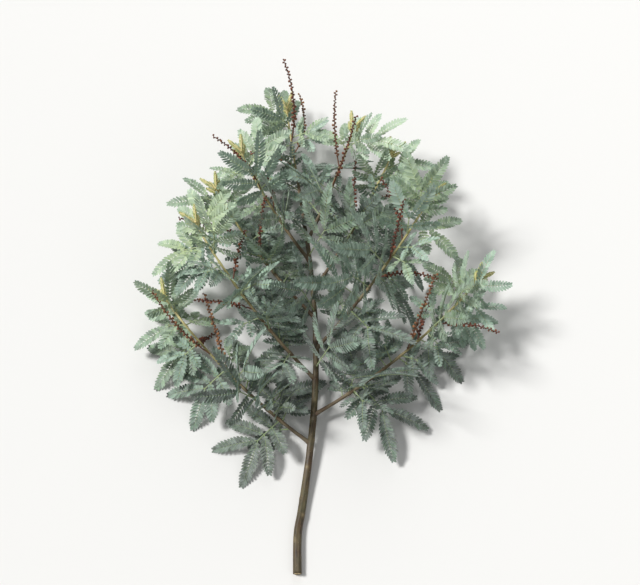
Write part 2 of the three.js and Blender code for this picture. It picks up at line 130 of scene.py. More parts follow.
# The same seed always gives the same run of numbers
def seededDraw(seed):
    spread = 7919
    offset = 12345
    multiplier = 48271
    modulus = 2147483647
    state = seed * spread + offset

    def draw(low, high):
        nonlocal state
        state = state * multiplier % modulus
        return low + (high - low) * state / modulus

    draw(0, 1)
    draw(0, 1)
    return draw


# Ribs: everything on the sprig follows a rib that droops, curls and lies down

def squaredFrame(at, along, outward):
    out = unit(plus(outward, along, -dot(outward, along)))
    return RibFrame(at, along, out, cross(along, out))


def growRib(start, heading, outward, lengths, droop=0, curl=0, lean=0, goal=None, low=0, halfWidth=0):
    frames = [squaredFrame(start, unit(heading), outward)]
    for length in lengths:
        last = frames[-1]
        along = plus(last.along, last.out, -radians(droop) / len(lengths))
        along = plus(along, last.side, radians(curl) / len(lengths))
        if goal:
            along = plus(along, goal, lean / len(lengths))
        at = plus(last.at, unit(along), length)
        at = (at[0], at[1], max(at[2], low))
        along = unit(plus(at, last.at, -1))
        frames.append(squaredFrame(at, along, laidFlat(last.out, at[2] - low, halfWidth)))
    return frames


# Close to the floor a blade tilts only as far as its edge allows
def laidFlat(out, height, halfWidth):
    tilt = hypot(out[0], out[1])
    if height >= halfWidth * tilt:
        return out
    allowed = height / halfWidth
    upOrDown = -1 if out[2] < 0 else 1
    return (out[0] * allowed / tilt, out[1] * allowed / tilt, upOrDown * sqrt(1 - allowed * allowed))


# A heading that would end below the floor is raised, so that the rib just reaches it
def landGently(heading, height, length, droop):
    return (heading[0], heading[1], max(heading[2], radians(droop) / 2 - height / length))


def frameAt(frames, fraction):
    place = fraction * (len(frames) - 1)
    k = min(int(place), len(frames) - 2)
    a = frames[k]
    b = frames[k + 1]
    along = unit(between(a.along, b.along, place - k))
    return squaredFrame(between(a.at, b.at, place - k), along, between(a.out, b.out, place - k))


# Main stem and twigs

stem = {
    "cutEnd": (-17.5, -212.8),
    "restLength": 30,  # the stretch that lies on the floor
    "archLength": 255, "height": 30, "archRings": 15,
    "bow": 14, "bowSpan": 0.9,  # sideways bend, and how much of a half wave it runs through
    "cutRadius": 3.6, "topRadius": 1.7, "flats": 8,
}

# Side shoots: places run along the arch from 0 to 1, a side of -1 is the left
shootParts = ("name", "place", "side", "length", "swing", "rise", "leafLimit", "racemeLimit")
shoots = [dict(zip(shootParts, row)) for row in (
    ("shoot_1", 0.28, -1, 158, 64, 6, 13, 3),
    ("shoot_2", 0.37, 1, 164, 60, 3, 13, 3),
    ("shoot_3", 0.48, -1, 150, 52, 14, 12, 2),
    ("shoot_4", 0.58, 1, 146, 50, 14, 12, 3),
    ("shoot_5", 0.68, -1, 128, 44, 3, 11, 2),
    ("shoot_6", 0.77, 1, 126, 42, 5, 11, 2),
    ("shoot_7", 0.87, -1, 98, 36, 18, 9, 2),
    ("shoot_8", 0.94, 1, 94, 36, 16, 9, 2),
)]
leader = {"name": "leader", "length": 100, "leafLimit": 10, "racemeLimit": 3, "goal": (-0.15, 1, 0.1)}

# Twigs lean towards a goal: a little outward (spread), ahead, and down (sag)
twig = {
    "baseRadius": 1.6, "tipRadius": 0.8, "rings": 8, "lean": 0.5, "spread": 0.12, "sag": 0.1, "low": 9,
    "sight": 0.01, "leaderSight": 0.03,  # stretch of the arch that gives the stem's direction
}


def stemPoint(t):
    ease = t * t * (3 - 2 * t)
    x = stem["cutEnd"][0] + stem["bow"] * sin(pi * t * stem["bowSpan"])
    y = stem["cutEnd"][1] + stem["restLength"] + stem["archLength"] * t
    rest = stem["cutRadius"] * cos(pi / stem["flats"])
    return (x, y, rest + (stem["height"] - rest) * ease)


def stemFrames():
    points = [plus(stemPoint(0), (0, -stem["restLength"], 0))]
    points += [stemPoint(k / stem["archRings"]) for k in range(stem["archRings"] + 1)]
    frames = []
    for k, at in enumerate(points):
        ahead = points[min(k + 1, len(points) - 1)]
        along = forward if k < 2 else unit(plus(ahead, points[k - 1], -1))
        side = unit(cross(along, up))
        frames.append(RibFrame(at, along, cross(side, along), side))
    return frames


def twigFrames(start, heading, goal, length):
    steps = evenSteps(length, twig["rings"])
    return growRib(start, heading, up, steps, lean=twig["lean"], goal=goal, low=twig["low"])


def shootFrames(shoot):
    start = stemPoint(shoot["place"])
    ahead = unit(plus(stemPoint(shoot["place"] + twig["sight"]), start, -1))
    turn = -shoot["side"] * radians(shoot["swing"])
    heading = (
        ahead[0] * cos(turn) - ahead[1] * sin(turn),
        ahead[0] * sin(turn) + ahead[1] * cos(turn),
        ahead[2] + tan(radians(shoot["rise"])),
    )
    return twigFrames(start, heading, (shoot["side"] * twig["spread"], 1, -twig["sag"]), shoot["length"])


def leaderFrames():
    heading = unit(plus(stemPoint(1), stemPoint(1 - twig["leaderSight"]), -1))
    return twigFrames(plus(stemPoint(1), heading, seatGap), heading, leader["goal"], leader["length"])


# Leaves: a rachis with pairs of pinnae. The first pair has firstShare of the last pair's
# length and stands nearAngle off the rachis, the last pair farAngle.

leaf = {
    "petiole": 4.5, "internode": 8.5, "lastCell": 6,  # stretches of the rachis
    "rachisDroop": 8, "rachisRoom": 4, "rachisHalfWidth": 6,
    "pinnaLength": 38, "lengthDraw": (0.94, 1.06), "firstShare": 0.66,
    "pinnaHalfWidth": 7, "narrowest": 0.8, "widening": 0.2,  # least share, and what length adds
    "sizeSpare": 0.08,
    "pinnaDroop": 13, "firstDroop": 0.6, "droopGain": 0.6,  # share at the first pair, and gained by the last
    "droopDraw": (-4, 4), "curlDraw": (-6, -2),
    "nearAngle": 82, "farAngle": 34, "fanShape": 0.8, "angleDraw": (-2, 2),
    "firstLift": 0.19, "lastLift": 0.07, "liftDraw": (-0.03, 0.03),
    "shingle": 0.25,  # roll that lets neighbouring pinnae overlap
    "low": 0.45, "layer": 2.6,  # least height of the last pair, and what each earlier pair adds
    "teeth": 3, "fewerTeeth": 0.4,  # pairs nearer the petiole than this have a tooth less
    "halfHeight": 1.2,  # of the room that a pinna takes
    "swings": 23,  # turns round the twig to try
}
youngLeaf = {
    "petiole": 4, "internode": 5, "lastCell": 3,
    "pinnaLength": 15, "pinnaHalfWidth": 2, "pinnaDroop": -30,
    "nearAngle": 36, "farAngle": 25, "climb": 0.8,
    "pairs": 2, "teeth": 2, "size": 1, "seed": 7,
}

# Leaves on a twig: the turn goes on by the golden angle, and a leaf near the tip stands
# closer to the twig than one further in
foliage = {
    "outermost": 0.975, "span": 0.84, "crowding": 1.25, "firstRank": 0.25,  # places along the twig
    "tipAngle": 36, "baseAngle": 66, "angleGrowth": 1.6,
    "tipSize": 0.8, "baseSize": 1.02, "sizeGrowth": 2, "sizeDraw": (0.94, 1.06),
    "twoPairs": 0.42,  # share of the leaves that have two pairs of pinnae, not three
    "shootTurn": 70, "turnDraw": (-10, 10), "rollDraw": (-0.25, 0.25),
    "upperSide": 0.74,  # share of a turn that leaves use, so that few point straight down
}

# Single leaves on the main stem: name, place on the arch, turn
fronds = [("frond_1", 0.52, 40), ("frond_2", 0.7, -30), ("frond_3", 0.89, 25)]
frondForm = {"size": 0.95, "angle": 48, "stemSpare": 2.4, "rollDraw": (-0.3, 0.3), "inward": 0.6}

# Small leaves that fill gaps along the shoots, on top of those that the solids show
filler = {
    "most": 16, "inner": 0.12, "outer": 0.95,  # places along the twig
    "size": 0.66, "sizeDraw": (0.85, 1.1), "petiole": 7, "halfHeight": 0.7, "swings": 14,
    "rollDraw": (-0.35, 0.35), "turnDraw": (-150, 150), "angleDraw": (40, 75),
}

# Bud strings: where they leave the twig, and how each try is turned, droops and curls
raceme = {
    "length": 62, "lengthDraw": (0.75, 1.15), "rings": 6, "low": 2.6,
    "first": 0.5, "span": 0.36, "placeDraw": (0, 0.06),  # places along the twig
    "attempts": 60, "swingStep": 7, "angles": (34, 43, 52),
    "droopDraw": (-25, 55), "curlDraw": (-65, 65),
}

# Boxes round what grows: half widths and heights, and the core that neighbours keep out of
room = {
    "stalk": 0.9, "stalkPlace": 0.35, "petiole": 1, "rise": 0.3, "endSpare": 0.6, "raceme": 2.7,
    "core": 0.75, "coreHeight": 0.1,
}

# A leaf that has no room is tried at other turns and bends, and then smaller
leafTries = {
    "shrinks": (1, 0.86, 0.72), "swingStep": 8, "tilt": 0.1,
    "bends": [(0, 0.5), (16, 0.5), (-14, 0.6), (4, 0.9), (22, 0.8)],  # more angle, share of the climb kept
}


def planRachis(start, heading, outward, form):
    size = form["size"]
    lengths = [form["petiole"]] + [form["internode"] * size] * (form["pairs"] - 1) + [form["lastCell"] * size]
    height = start[2] - form["low"] - form["rachisRoom"]
    heading = landGently(unit(heading), height, sum(lengths), form["rachisDroop"])
    return growRib(
        start, heading, outward, lengths,
        droop=form["rachisDroop"], low=form["low"], halfWidth=form["rachisHalfWidth"],
    )


def planPinna(rachis, pair, side, form, draw):
    pairs = form["pairs"]
    reach = pair / (pairs - 1)
    share = blendOf(form["firstShare"], 1, reach)
    root = frameAt(rachis, (pair + 1.5) / (pairs + 1))  # halfway along the pair's own stretch
    angle = blendOf(form["farAngle"], form["nearAngle"], (1 - reach) ** form["fanShape"])
    angle = radians(angle + draw(*form["angleDraw"]))
    low = form["low"] + form["layer"] * (pairs - 1 - pair)
    lift = blendOf(form["firstLift"], form["lastLift"], reach) + draw(*form["liftDraw"])
    heading = unit(plus(swung(root.along, root.side, side * angle), root.out, lift))
    outward = plus(root.out, root.along, -sin(angle) * form["shingle"])
    outward = plus(outward, root.side, side * cos(angle) * form["shingle"])
    length = form["pinnaLength"] * form["size"] * share * draw(*form["lengthDraw"])
    hasFewer = reach < form["fewerTeeth"] and form["teeth"] > 2
    count = form["teeth"] - 1 if hasFewer else form["teeth"]
    halfWidth = form["pinnaHalfWidth"] * (form["narrowest"] + form["widening"] * share)
    halfWidth *= min(1, form["size"] + form["sizeSpare"])
    droop = form["pinnaDroop"] * (form["firstDroop"] + form["droopGain"] * reach) + draw(*form["droopDraw"])
    heading = landGently(heading, root.at[2] - low, length, droop)
    rib = growRib(
        root.at, heading, outward, evenSteps(length, 2 * count),
        droop=droop, curl=side * draw(*form["curlDraw"]), low=low, halfWidth=halfWidth,
    )
    return {"rib": rib, "count": count, "length": length, "halfWidth": halfWidth, "form": form}


# Room: oriented boxes keep what grows clear of what is there already

kept = {
    "centre": np.zeros((0, 3)),
    "axes": np.zeros((0, 3, 3)),
    "half": np.zeros((0, 3)),
    "radius": np.zeros(0),
    "owner": np.zeros(0, dtype="U24"),
}


def keep(boxes, owner):
    for field in Box._fields:
        kept[field] = np.concatenate([kept[field], [getattr(box, field) for box in boxes]])
    kept["owner"] = np.append(kept["owner"], [owner] * len(boxes))


def boxAround(rib, start, end, halfWidth, halfHeight, rise=0.0):
    along = plus(end, start, -1)
    halfLength = sqrt(dot(along, along)) / 2
    along = unit(along)
    side = unit(cross(along, rib.out))
    out = cross(side, along)
    centre = plus(times(plus(start, end), 0.5), out, rise)
    half = (halfLength + room["endSpare"], halfWidth, halfHeight)
    return Box(centre, (along, side, out), half, sqrt(halfLength**2 + halfWidth**2 + halfHeight**2))


def tubeBoxes(frames, stride, halfWidth):
    boxes = []
    for k in range(0, len(frames) - 1, stride):
        end = min(k + stride, len(frames) - 1)
        boxes.append(boxAround(frames[k], frames[k].at, frames[end].at, halfWidth, halfWidth))
    return boxes


def stalkBox(rachis):
    middle = frameAt(rachis, room["stalkPlace"])
    return boxAround(middle, rachis[1].at, rachis[-1].at, room["stalk"], room["stalk"])


def pinnaBoxes(pinna):
    rib = pinna["rib"]
    count = pinna["count"]
    sizes = (pinna["halfWidth"], pinna["form"]["halfHeight"], room["rise"])
    near = boxAround(rib[int(count / 2 + 0.5)], rib[1].at, rib[count].at, *sizes)
    far = boxAround(rib[int(count * 1.5 + 0.5)], rib[count].at, rib[-1].at, *sizes)
    return [near, far]


# True where the box overlaps one of the others: no direction of fifteen separates them
def meets(box, centres, axes, halves):
    own = np.array(box.axes)
    gap = centres - np.array(box.centre)
    count = len(centres)
    crosses = np.cross(own[None, :, None, :], axes[:, None, :, :]).reshape(count, 9, 3)
    lengths = np.linalg.norm(crosses, axis=2)
    crosses = np.where(lengths[..., None] > 1e-3, crosses / np.maximum(lengths, 1e-9)[..., None], own[0])
    directions = np.concatenate([np.broadcast_to(own, (count, 3, 3)), axes, crosses], axis=1)
    apart = np.abs(np.einsum("nkd,nd->nk", directions, gap))
    ownReach = np.abs(directions @ own.T) @ np.array(box.half)
    otherReach = np.einsum("nkj,nj->nk", np.abs(np.einsum("nkd,njd->nkj", directions, axes)), halves)
    return ~(apart > ownReach + otherReach + clearance).any(axis=1)


def isBlocked(box, owner, skipsOwn):
    gap = kept["centre"] - np.array(box.centre)
    reach = kept["radius"] + box.radius + clearance + 1
    near = np.einsum("nd,nd->n", gap, gap) <= reach * reach
    if skipsOwn:
        near &= kept["owner"] != owner
    if not near.any():
        return False
    return bool(meets(box, kept["centre"][near], kept["axes"][near], kept["half"][near]).any())


# Neighbouring pinnae on one side of a leaf may touch at their edges but don't cross. Box 0
# is the rachis; then each pinna has a near and a far box, and the sides take turns.
def isUncrossed(boxes):
    cores = []
    for box in boxes:
        half = (box.half[0], box.half[1] * room["core"], room["coreHeight"])
        cores.append(box._replace(half=half))
    for k in range(1, len(cores) - 4):
        others = [cores[k + 4], cores[k + 5 if k % 2 == 1 else k + 3]]
        centres = np.array([other.centre for other in others])
        axes = np.array([other.axes for other in others])
        if meets(cores[k], centres, axes, np.array([other.half for other in others])).any():
            return False
    return True


# Tries go outward from the natural place: 0, 1, -1, 2, -2 and so on
def swingOf(attempt):
    return (-1 if attempt % 2 == 0 else 1) * ceil(attempt / 2)


# Heading away from a twig at a turn round it (0 is up) and an angle off its line
def headingFrom(rib, turn, angle):
    return swung(rib.along, swung(rib.out, rib.side, radians(turn)), radians(angle))


def folded(turn):
    return ((turn + 180) % 360 - 180) * foliage["upperSide"]


def tryLeaf(rib, heading, outward, form, owner):
    draw = seededDraw(form["seed"])
    rachis = planRachis(rib.at, heading, outward, form)
    boxes = [stalkBox(rachis)]
    if isBlocked(boxes[0], owner, True):
        return None
    pinnae = []
    for pair in range(form["pairs"]):
        for side in (-1, 1):
            pinnae.append(planPinna(rachis, pair, side, form, draw))
            near, far = pinnaBoxes(pinnae[-1])
            if isBlocked(near, owner, form["fused"]) or isBlocked(far, owner, False):
                return None
            boxes += [near, far]
    if not isUncrossed(boxes):
        return None
    keep(boxes, owner)
    return {"rachis": rachis, "pinnae": pinnae, "form": form}


def placeLeaf(frames, owner, fraction, turn, angle, form):
    rib = frameAt(frames, fraction)
    outward = plus(plus(up, rib.along, leafTries["tilt"]), rib.side, form["roll"])
    for shrink in leafTries["shrinks"]:
        trial = dict(form, size=form["size"] * shrink)
        for swing in range(form["swings"]):
            for bend, climb in leafTries["bends"]:
                heading = headingFrom(rib, turn + swingOf(swing) * leafTries["swingStep"], angle + bend)
                heading = (heading[0], heading[1], heading[2] * climb)
                plan = tryLeaf(rib, heading, outward, trial, owner)
                if plan:
                    return plan
    return None


def placeRaceme(frames, owner, fraction, turn, seed):
    draw = seededDraw(seed)
    rib = frameAt(frames, fraction)
    length = raceme["length"] * draw(*raceme["lengthDraw"])
    for attempt in range(raceme["attempts"]):
        angle = raceme["angles"][attempt % len(raceme["angles"])]
        heading = headingFrom(rib, turn + swingOf(attempt) * raceme["swingStep"], angle)
        axis = growRib(
            rib.at, heading, up, evenSteps(length, raceme["rings"]),
            droop=draw(*raceme["droopDraw"]), curl=draw(*raceme["curlDraw"]), low=raceme["low"],
        )
        boxes = tubeBoxes(axis, 1, room["raceme"])
        if not any(isBlocked(box, owner, k == 0) for k, box in enumerate(boxes)):
            keep(boxes, owner + " raceme")
            return {"rib": axis, "seed": seed, "length": length}
    return None


# Growth of the whole sprig, in the order that decides what has room

def growTips(branches):
    for index, branch in enumerate(branches):
        end = branch["frames"][-1]
        form = dict(leaf, **youngLeaf)
        start = plus(end.at, end.along, seatGap)
        rachis = planRachis(start, plus(end.along, up, form["climb"]), end.along, form)
        draw = seededDraw(seeds["tip"] + index)
        pinnae = []
        for pair in range(form["pairs"]):
            pinnae += [planPinna(rachis, pair, side, form, draw) for side in (-1, 1)]
        boxes = [stalkBox(rachis)]
        for pinna in pinnae:
            boxes += pinnaBoxes(pinna)
        keep(boxes + tubeBoxes(rachis[:2], 1, room["petiole"]), branch["name"] + " tip")
        branch["tip"] = {"rachis": rachis, "pinnae": pinnae, "form": form}


def growRacemes(branches):
    for index, branch in enumerate(branches):
        for k in range(branch["racemeLimit"]):
            seed = seeds["raceme"] + index * seeds["racemeStep"] + k
            draw = seededDraw(seed)
            fraction = raceme["first"] + raceme["span"] * (k / branch["racemeLimit"])
            fraction += draw(*raceme["placeDraw"])
            plan = placeRaceme(branch["frames"], branch["name"], fraction, folded(draw(-180, 180)), seed)
            if plan:
                branch["racemes"].append(plan)


def growFronds(trunk):
    grown = []
    for index, (name, place, turn) in enumerate(fronds):
        seed = seeds["frond"] + index
        draw = seededDraw(seed)
        form = dict(leaf, seed=seed, pairs=3, size=frondForm["size"], fused=False)
        form["roll"] = draw(*frondForm["rollDraw"])
        form["petiole"] += frondForm["stemSpare"] * stem["topRadius"]
        fraction = (1 + stem["archRings"] * place) / (stem["archRings"] + 1)
        plan = placeLeaf(trunk, "main_stem", fraction, turn, frondForm["angle"], form)
        if plan:
            grown.append((name, dict(plan, inward=frondForm["inward"])))
    return grown


# Every branch bears its leaf of one rank before any bears the next
def rankByRank(branches, ranks, kind):
    for rank in range(ranks):
        for index, branch in enumerate(branches):
            seed = seeds[kind] + index * seeds["step"] + rank
            yield rank, index, branch, dict(leaf, seed=seed, fused=True), seededDraw(seed)


def growLeaves(branches):
    ranks = max(branch["leafLimit"] for branch in branches)
    for rank, index, branch, form, draw in rankByRank(branches, ranks, "leaf"):
        if rank >= branch["leafLimit"]:
            continue
        inward = (rank + foliage["firstRank"]) / branch["leafLimit"]
        fraction = foliage["outermost"] - foliage["span"] * inward ** foliage["crowding"]
        form["pairs"] = 2 if draw(0, 1) < foliage["twoPairs"] else 3
        form["roll"] = draw(*foliage["rollDraw"])
        size = blendOf(foliage["tipSize"], foliage["baseSize"], min(1, inward * foliage["sizeGrowth"]))
        form["size"] = size * draw(*foliage["sizeDraw"])
        turn = folded(goldenAngle * rank + index * foliage["shootTurn"] + draw(*foliage["turnDraw"]))
        angle = blendOf(foliage["tipAngle"], foliage["baseAngle"], min(1, inward * foliage["angleGrowth"]))
        plan = placeLeaf(branch["frames"], branch["name"], fraction, turn, angle, form)
        if plan:
            branch["leaves"].append(dict(plan, fraction=fraction, inward=inward))


def growFillers(branches):
    for rank, _, branch, form, draw in rankByRank(branches, filler["most"], "filler"):
        inward = (rank + draw(0, 1)) / filler["most"]
        fraction = blendOf(filler["outer"], filler["inner"], inward)
        form.update(pairs=2, petiole=filler["petiole"], halfHeight=filler["halfHeight"])
        form.update(swings=filler["swings"], size=filler["size"] * draw(*filler["sizeDraw"]))
        form["roll"] = draw(*filler["rollDraw"])
        turn = draw(*filler["turnDraw"])
        plan = placeLeaf(branch["frames"], branch["name"], fraction, turn, draw(*filler["angleDraw"]), form)
        if plan:
            branch["fillers"].append(dict(plan, inward=inward))


def growSprig():
    trunk = stemFrames()
    keep(tubeBoxes(trunk, 1, stem["cutRadius"]), "main_stem")
    branches = [dict(shoot, frames=shootFrames(shoot)) for shoot in shoots]
    branches.append(dict(leader, frames=leaderFrames()))
    for branch in branches:
        keep(tubeBoxes(branch["frames"][1:], 2, twig["baseRadius"]), branch["name"])
        branch.update(racemes=[], leaves=[], fillers=[])
    growTips(branches)
    growRacemes(branches)
    singles = growFronds(trunk)
    growLeaves(branches)
    growFillers(branches)
    return trunk, branches, singles


trunk, branches, singles = growSprig()
print("grown:", [len(branch["leaves"]) for branch in branches], "leaves,", len(singles), "on the stem")


# Node trees: a small helper adds a node, fills its sockets and links them. A node that is
# given as a value stands for its first output.

class Wiring:
    def __init__(self, tree):
        self.tree = tree

    def add(self, kind, inputs=None, **settings):
        node = self.tree.nodes.new(kind)
        for name, value in settings.items():
            setattr(node, name, value)
        for key, value in (inputs or {}).items():
            self.fill(self.socketOf(node.inputs, key), value)
        return node

    def socketOf(self, sockets, key):
        if isinstance(key, int):
            return sockets[key]
        return next(socket for socket in sockets if socket.name == key and socket.enabled)

    def fill(self, socket, value):
        if isinstance(value, list):
            for one in value:
                self.fill(socket, one)
        elif isinstance(value, bpy.types.Node):
            self.tree.links.new(next(out for out in value.outputs if out.enabled), socket)
        elif isinstance(value, bpy.types.NodeSocket):
            self.tree.links.new(value, socket)
        else:
            socket.default_value = colourOf(value) if socket.type == "RGBA" else value

    def maths(self, operation, *values):
        return self.add("ShaderNodeMath", dict(enumerate(values)), operation=operation)

    def vectors(self, operation, *values):
        return self.add("ShaderNodeVectorMath", dict(enumerate(values)), operation=operation)

    def scaled(self, vector, factor):
        return self.add("ShaderNodeVectorMath", {"Vector": vector, "Scale": factor}, operation="SCALE")

    def ranged(self, value, low, high, start=0.0, end=1.0):
        limits = {"From Min": low, "From Max": high, "To Min": start, "To Max": end}
        return self.add("ShaderNodeMapRange", {"Value": value, **limits})

    def stored(self, name, kind="FLOAT"):
        return self.add("GeometryNodeInputNamedAttribute", {"Name": name}, data_type=kind)

    def chance(self, low, high, seed, kind="FLOAT"):
        return self.add("FunctionNodeRandomValue", {"Min": low, "Max": high, "Seed": seed}, data_type=kind)

    def marked(self, instances, name, value):
        inputs = {"Geometry": instances, "Name": name, "Value": value}
        return self.add("GeometryNodeStoreNamedAttribute", inputs, data_type="FLOAT", domain="INSTANCE")

    def painted(self, name):
        return self.add("ShaderNodeAttribute", attribute_name=name).outputs["Fac"]

    def place(self):
        return self.add("ShaderNodeTexCoord").outputs["Object"]

    def noise(self, place, scale, detail, roughness=0.5):
        look = {"Scale": scale, "Detail": detail, "Roughness": roughness}
        return self.add("ShaderNodeTexNoise", {"Vector": place, **look})

    def ramp(self, factor, stops):
        node = self.add("ShaderNodeValToRGB", {"Fac": factor})
        elements = node.color_ramp.elements
        while len(elements) < len(stops):
            elements.new(0.5)
        for element, (place, tint) in zip(elements, stops):
            element.position = place
            element.color = colourOf(tint)
        return node

    def mixed(self, factor, a, b):
        return self.add("ShaderNodeMix", {"Factor": factor, "A": a, "B": b}, data_type="RGBA")

    # The body with a tint over it: the mask says where, the amount how much
    def tinted(self, body, tint, mask, amount):
        return self.mixed(self.maths("MULTIPLY", mask, amount), body, tint)


# A hex code as Blender's linear colour
def colourOf(hexCode):
    channels = [int(hexCode[k:k + 2], 16) / 255 for k in (1, 3, 5)]
    channels = [c / 12.92 if c < 0.04045 else ((c + 0.055) / 1.055) ** 2.4 for c in channels]
    return (*channels, 1.0)


def newTree(name, kind, inputs, outputs):
    tree = bpy.data.node_groups.new(name, kind)
    for direction, sockets in (("INPUT", inputs), ("OUTPUT", outputs)):
        for socketName, socketKind in sockets.items():
            tree.interface.new_socket(socketName, in_out=direction, socket_type="NodeSocket" + socketKind)
    return tree, Wiring(tree)


# Effects that several materials share: a bloom of wax, and streaks along the wood

waxBloom = {"detail": 3.0, "patches": (0.32, 0.68), "roughness": (0.5, 0.72)}
woodGrain = {"detail": 4.0, "contrast": 0.62, "streaks": (0.38, 0.62)}


def makeWaxGroup():
    tree, wire = newTree(
        "waxyBloom", "ShaderNodeTree",
        {"Color": "Color", "Bloom": "Color", "Amount": "Float", "Patch Scale": "Float"},
        {"Color": "Color", "Roughness": "Float"},
    )
    given = wire.add("NodeGroupInput").outputs
    patches = wire.noise(wire.place(), given["Patch Scale"], waxBloom["detail"])
    cover = wire.ranged(patches, *waxBloom["patches"])
    tinted = wire.tinted(given["Color"], given["Bloom"], cover, given["Amount"])
    rough = wire.ranged(cover, 0.0, 1.0, *waxBloom["roughness"])
    wire.add("NodeGroupOutput", {"Color": tinted, "Roughness": rough})
    return tree


def makeGrainGroup():
    tree, wire = newTree(
        "longGrain", "ShaderNodeTree",
        {"Color": "Color", "Streak": "Color", "Amount": "Float", "Fineness": "Float"},
        {"Color": "Color", "Height": "Float"},
    )
    given = wire.add("NodeGroupInput").outputs
    across = wire.maths("MULTIPLY", wire.painted("round"), given["Fineness"])
    drawnOut = wire.add("ShaderNodeCombineXYZ", {"X": across, "Y": wire.painted("along")})
    streaks = wire.noise(drawnOut, 1.0, woodGrain["detail"], woodGrain["contrast"])
    mask = wire.ranged(streaks, *woodGrain["streaks"])
    tinted = wire.tinted(given["Color"], given["Streak"], mask, given["Amount"])
    wire.add("NodeGroupOutput", {"Color": tinted, "Height": streaks})
    return tree


waxGroup = makeWaxGroup()
grainGroup = makeGrainGroup()


def newMaterial(name, roughness=0.6, sheen=0.0, specular=0.4):
    material = bpy.data.materials.new(name)
    material.use_nodes = True
    shader = material.node_tree.nodes["Principled BSDF"]
    shader.inputs["Roughness"].default_value = roughness
    shader.inputs["Sheen Weight"].default_value = sheen
    shader.inputs["Specular IOR Level"].default_value = specular
    return material, Wiring(material.node_tree), shader


def grained(wire, body, finish):
    return wire.add("ShaderNodeGroup", {
        "Color": body, "Streak": finish["streak"], "Amount": finish["streakAmount"],
        "Fineness": finish["fineness"],
    }, node_tree=grainGroup)


def waxed(wire, shader, body, finish):
    wax = wire.add("ShaderNodeGroup", {
        "Color": body, "Bloom": finish["bloom"], "Amount": finish["bloomAmount"],
        "Patch Scale": finish["patchScale"],
    }, node_tree=waxGroup)
    wire.fill(shader.inputs["Base Color"], wax.outputs["Color"])
    wire.fill(shader.inputs["Roughness"], wax.outputs["Roughness"])


def bumped(wire, shader, height, finish):
    bump = wire.add("ShaderNodeBump", {
        "Height": height, "Strength": finish["bumpStrength"], "Distance": finish["bumpDepth"],
    })
    wire.fill(shader.inputs["Normal"], bump)


# Finishes: bumpDepth is in metres, and a scale counts patches or grains in a metre

leafletFinish = {
    "shades": [(0.0, "#18241a"), (0.28, "#3e5a45"), (0.58, "#81a089"), (1.0, "#c4d7c5")],
    "fresh": [(0.0, "#2d3f1a"), (0.5, "#678040"), (1.0, "#adbf6e")],
    "bloom": "#bcc6c2", "bloomAmount": 0.32, "patchScale": 260.0, "edgePaler": 0.16,
    "vein": "#b7c49c", "veinPaler": 0.45, "veinRange": (0.2, 0.02),  # fades from the midrib outward
    "sheen": 0.25, "grainScale": 1400.0, "grainDetail": 2.0, "bumpStrength": 0.35, "bumpDepth": 0.00008,
}


def makeLeafletMaterial():
    finish = leafletFinish
    material, wire, shader = newMaterial("silver leaflet", sheen=finish["sheen"])
    # shade carries each leaf's tone, painted shade by height and depth included
    shade = wire.painted("shade")
    grey = wire.ramp(shade, finish["shades"])
    body = wire.mixed(wire.painted("fresh"), grey, wire.ramp(shade, finish["fresh"]))
    edge = wire.painted("edge")
    body = wire.tinted(body, finish["bloom"], edge, finish["edgePaler"])
    vein = wire.ranged(edge, *finish["veinRange"])
    body = wire.tinted(body, finish["vein"], vein, finish["veinPaler"])
    waxed(wire, shader, body, finish)
    bumped(wire, shader, wire.noise(wire.place(), finish["grainScale"], finish["grainDetail"]), finish)
    return material


youngFinish = {
    "shades": [(0.0, "#75883f"), (0.4, "#b2b469"), (1.0, "#ecdfae")],
    "bloom": "#dcd9ae", "bloomAmount": 0.4, "patchScale": 340.0, "sheen": 0.2,
}


def makeYoungMaterial():
    material, wire, shader = newMaterial("young leaflet", sheen=youngFinish["sheen"])
    waxed(wire, shader, wire.ramp(wire.painted("shade"), youngFinish["shades"]), youngFinish)
    return material


ribFinish = {
    "pale": "#b4be8c", "deep": "#7c8f5c", "bloom": "#bccab0", "bloomAmount": 0.4, "patchScale": 300.0,
    "sheen": 0.1,
}
youngRibFinish = dict(ribFinish, pale="#f0dfa6", deep="#c8b46c", bloom="#f2e8c4")


def makeRibMaterial(name, finish):
    material, wire, shader = newMaterial(name, sheen=finish["sheen"])
    # A rib's shade follows its leaf's, painted shade by height and depth included
    waxed(wire, shader, wire.mixed(wire.painted("shade"), finish["deep"], finish["pale"]), finish)
    return material


twigFinish = {
    "ages": [(0.0, "#dccd92"), (0.1, "#c2b878"), (0.24, "#8d8450"), (0.5, "#6f5c40"), (1.0, "#573e2c")],
    "streak": "#43301f", "streakAmount": 0.45, "fineness": 2.0,
    "bloom": "#a3a88c", "bloomAmount": 0.22, "patchScale": 180.0,
    "bumpStrength": 0.5, "bumpDepth": 0.0002,
}


def makeTwigMaterial():
    material, wire, shader = newMaterial("twig skin")
    grain = grained(wire, wire.ramp(wire.painted("age"), twigFinish["ages"]), twigFinish)
    waxed(wire, shader, grain, twigFinish)
    bumped(wire, shader, grain.outputs["Height"], twigFinish)
    return material


barkFinish = {
    "shades": [(0.0, "#35281b"), (0.5, "#57452f"), (1.0, "#7a6a48")],
    "cloudScale": 45.0, "cloudDetail": 3.0,
    "streak": "#271d14", "streakAmount": 0.75, "fineness": 5.0,
    "scar": "#8b7a58", "poreScale": 420.0, "poreRange": (0.2, 0.12), "porePaler": 0.5,
    "bloom": "#6c7355", "bloomAmount": 0.3, "patchScale": 90.0,  # green film, as on older bark
    "bumpStrength": 0.7, "bumpDepth": 0.00035,
}


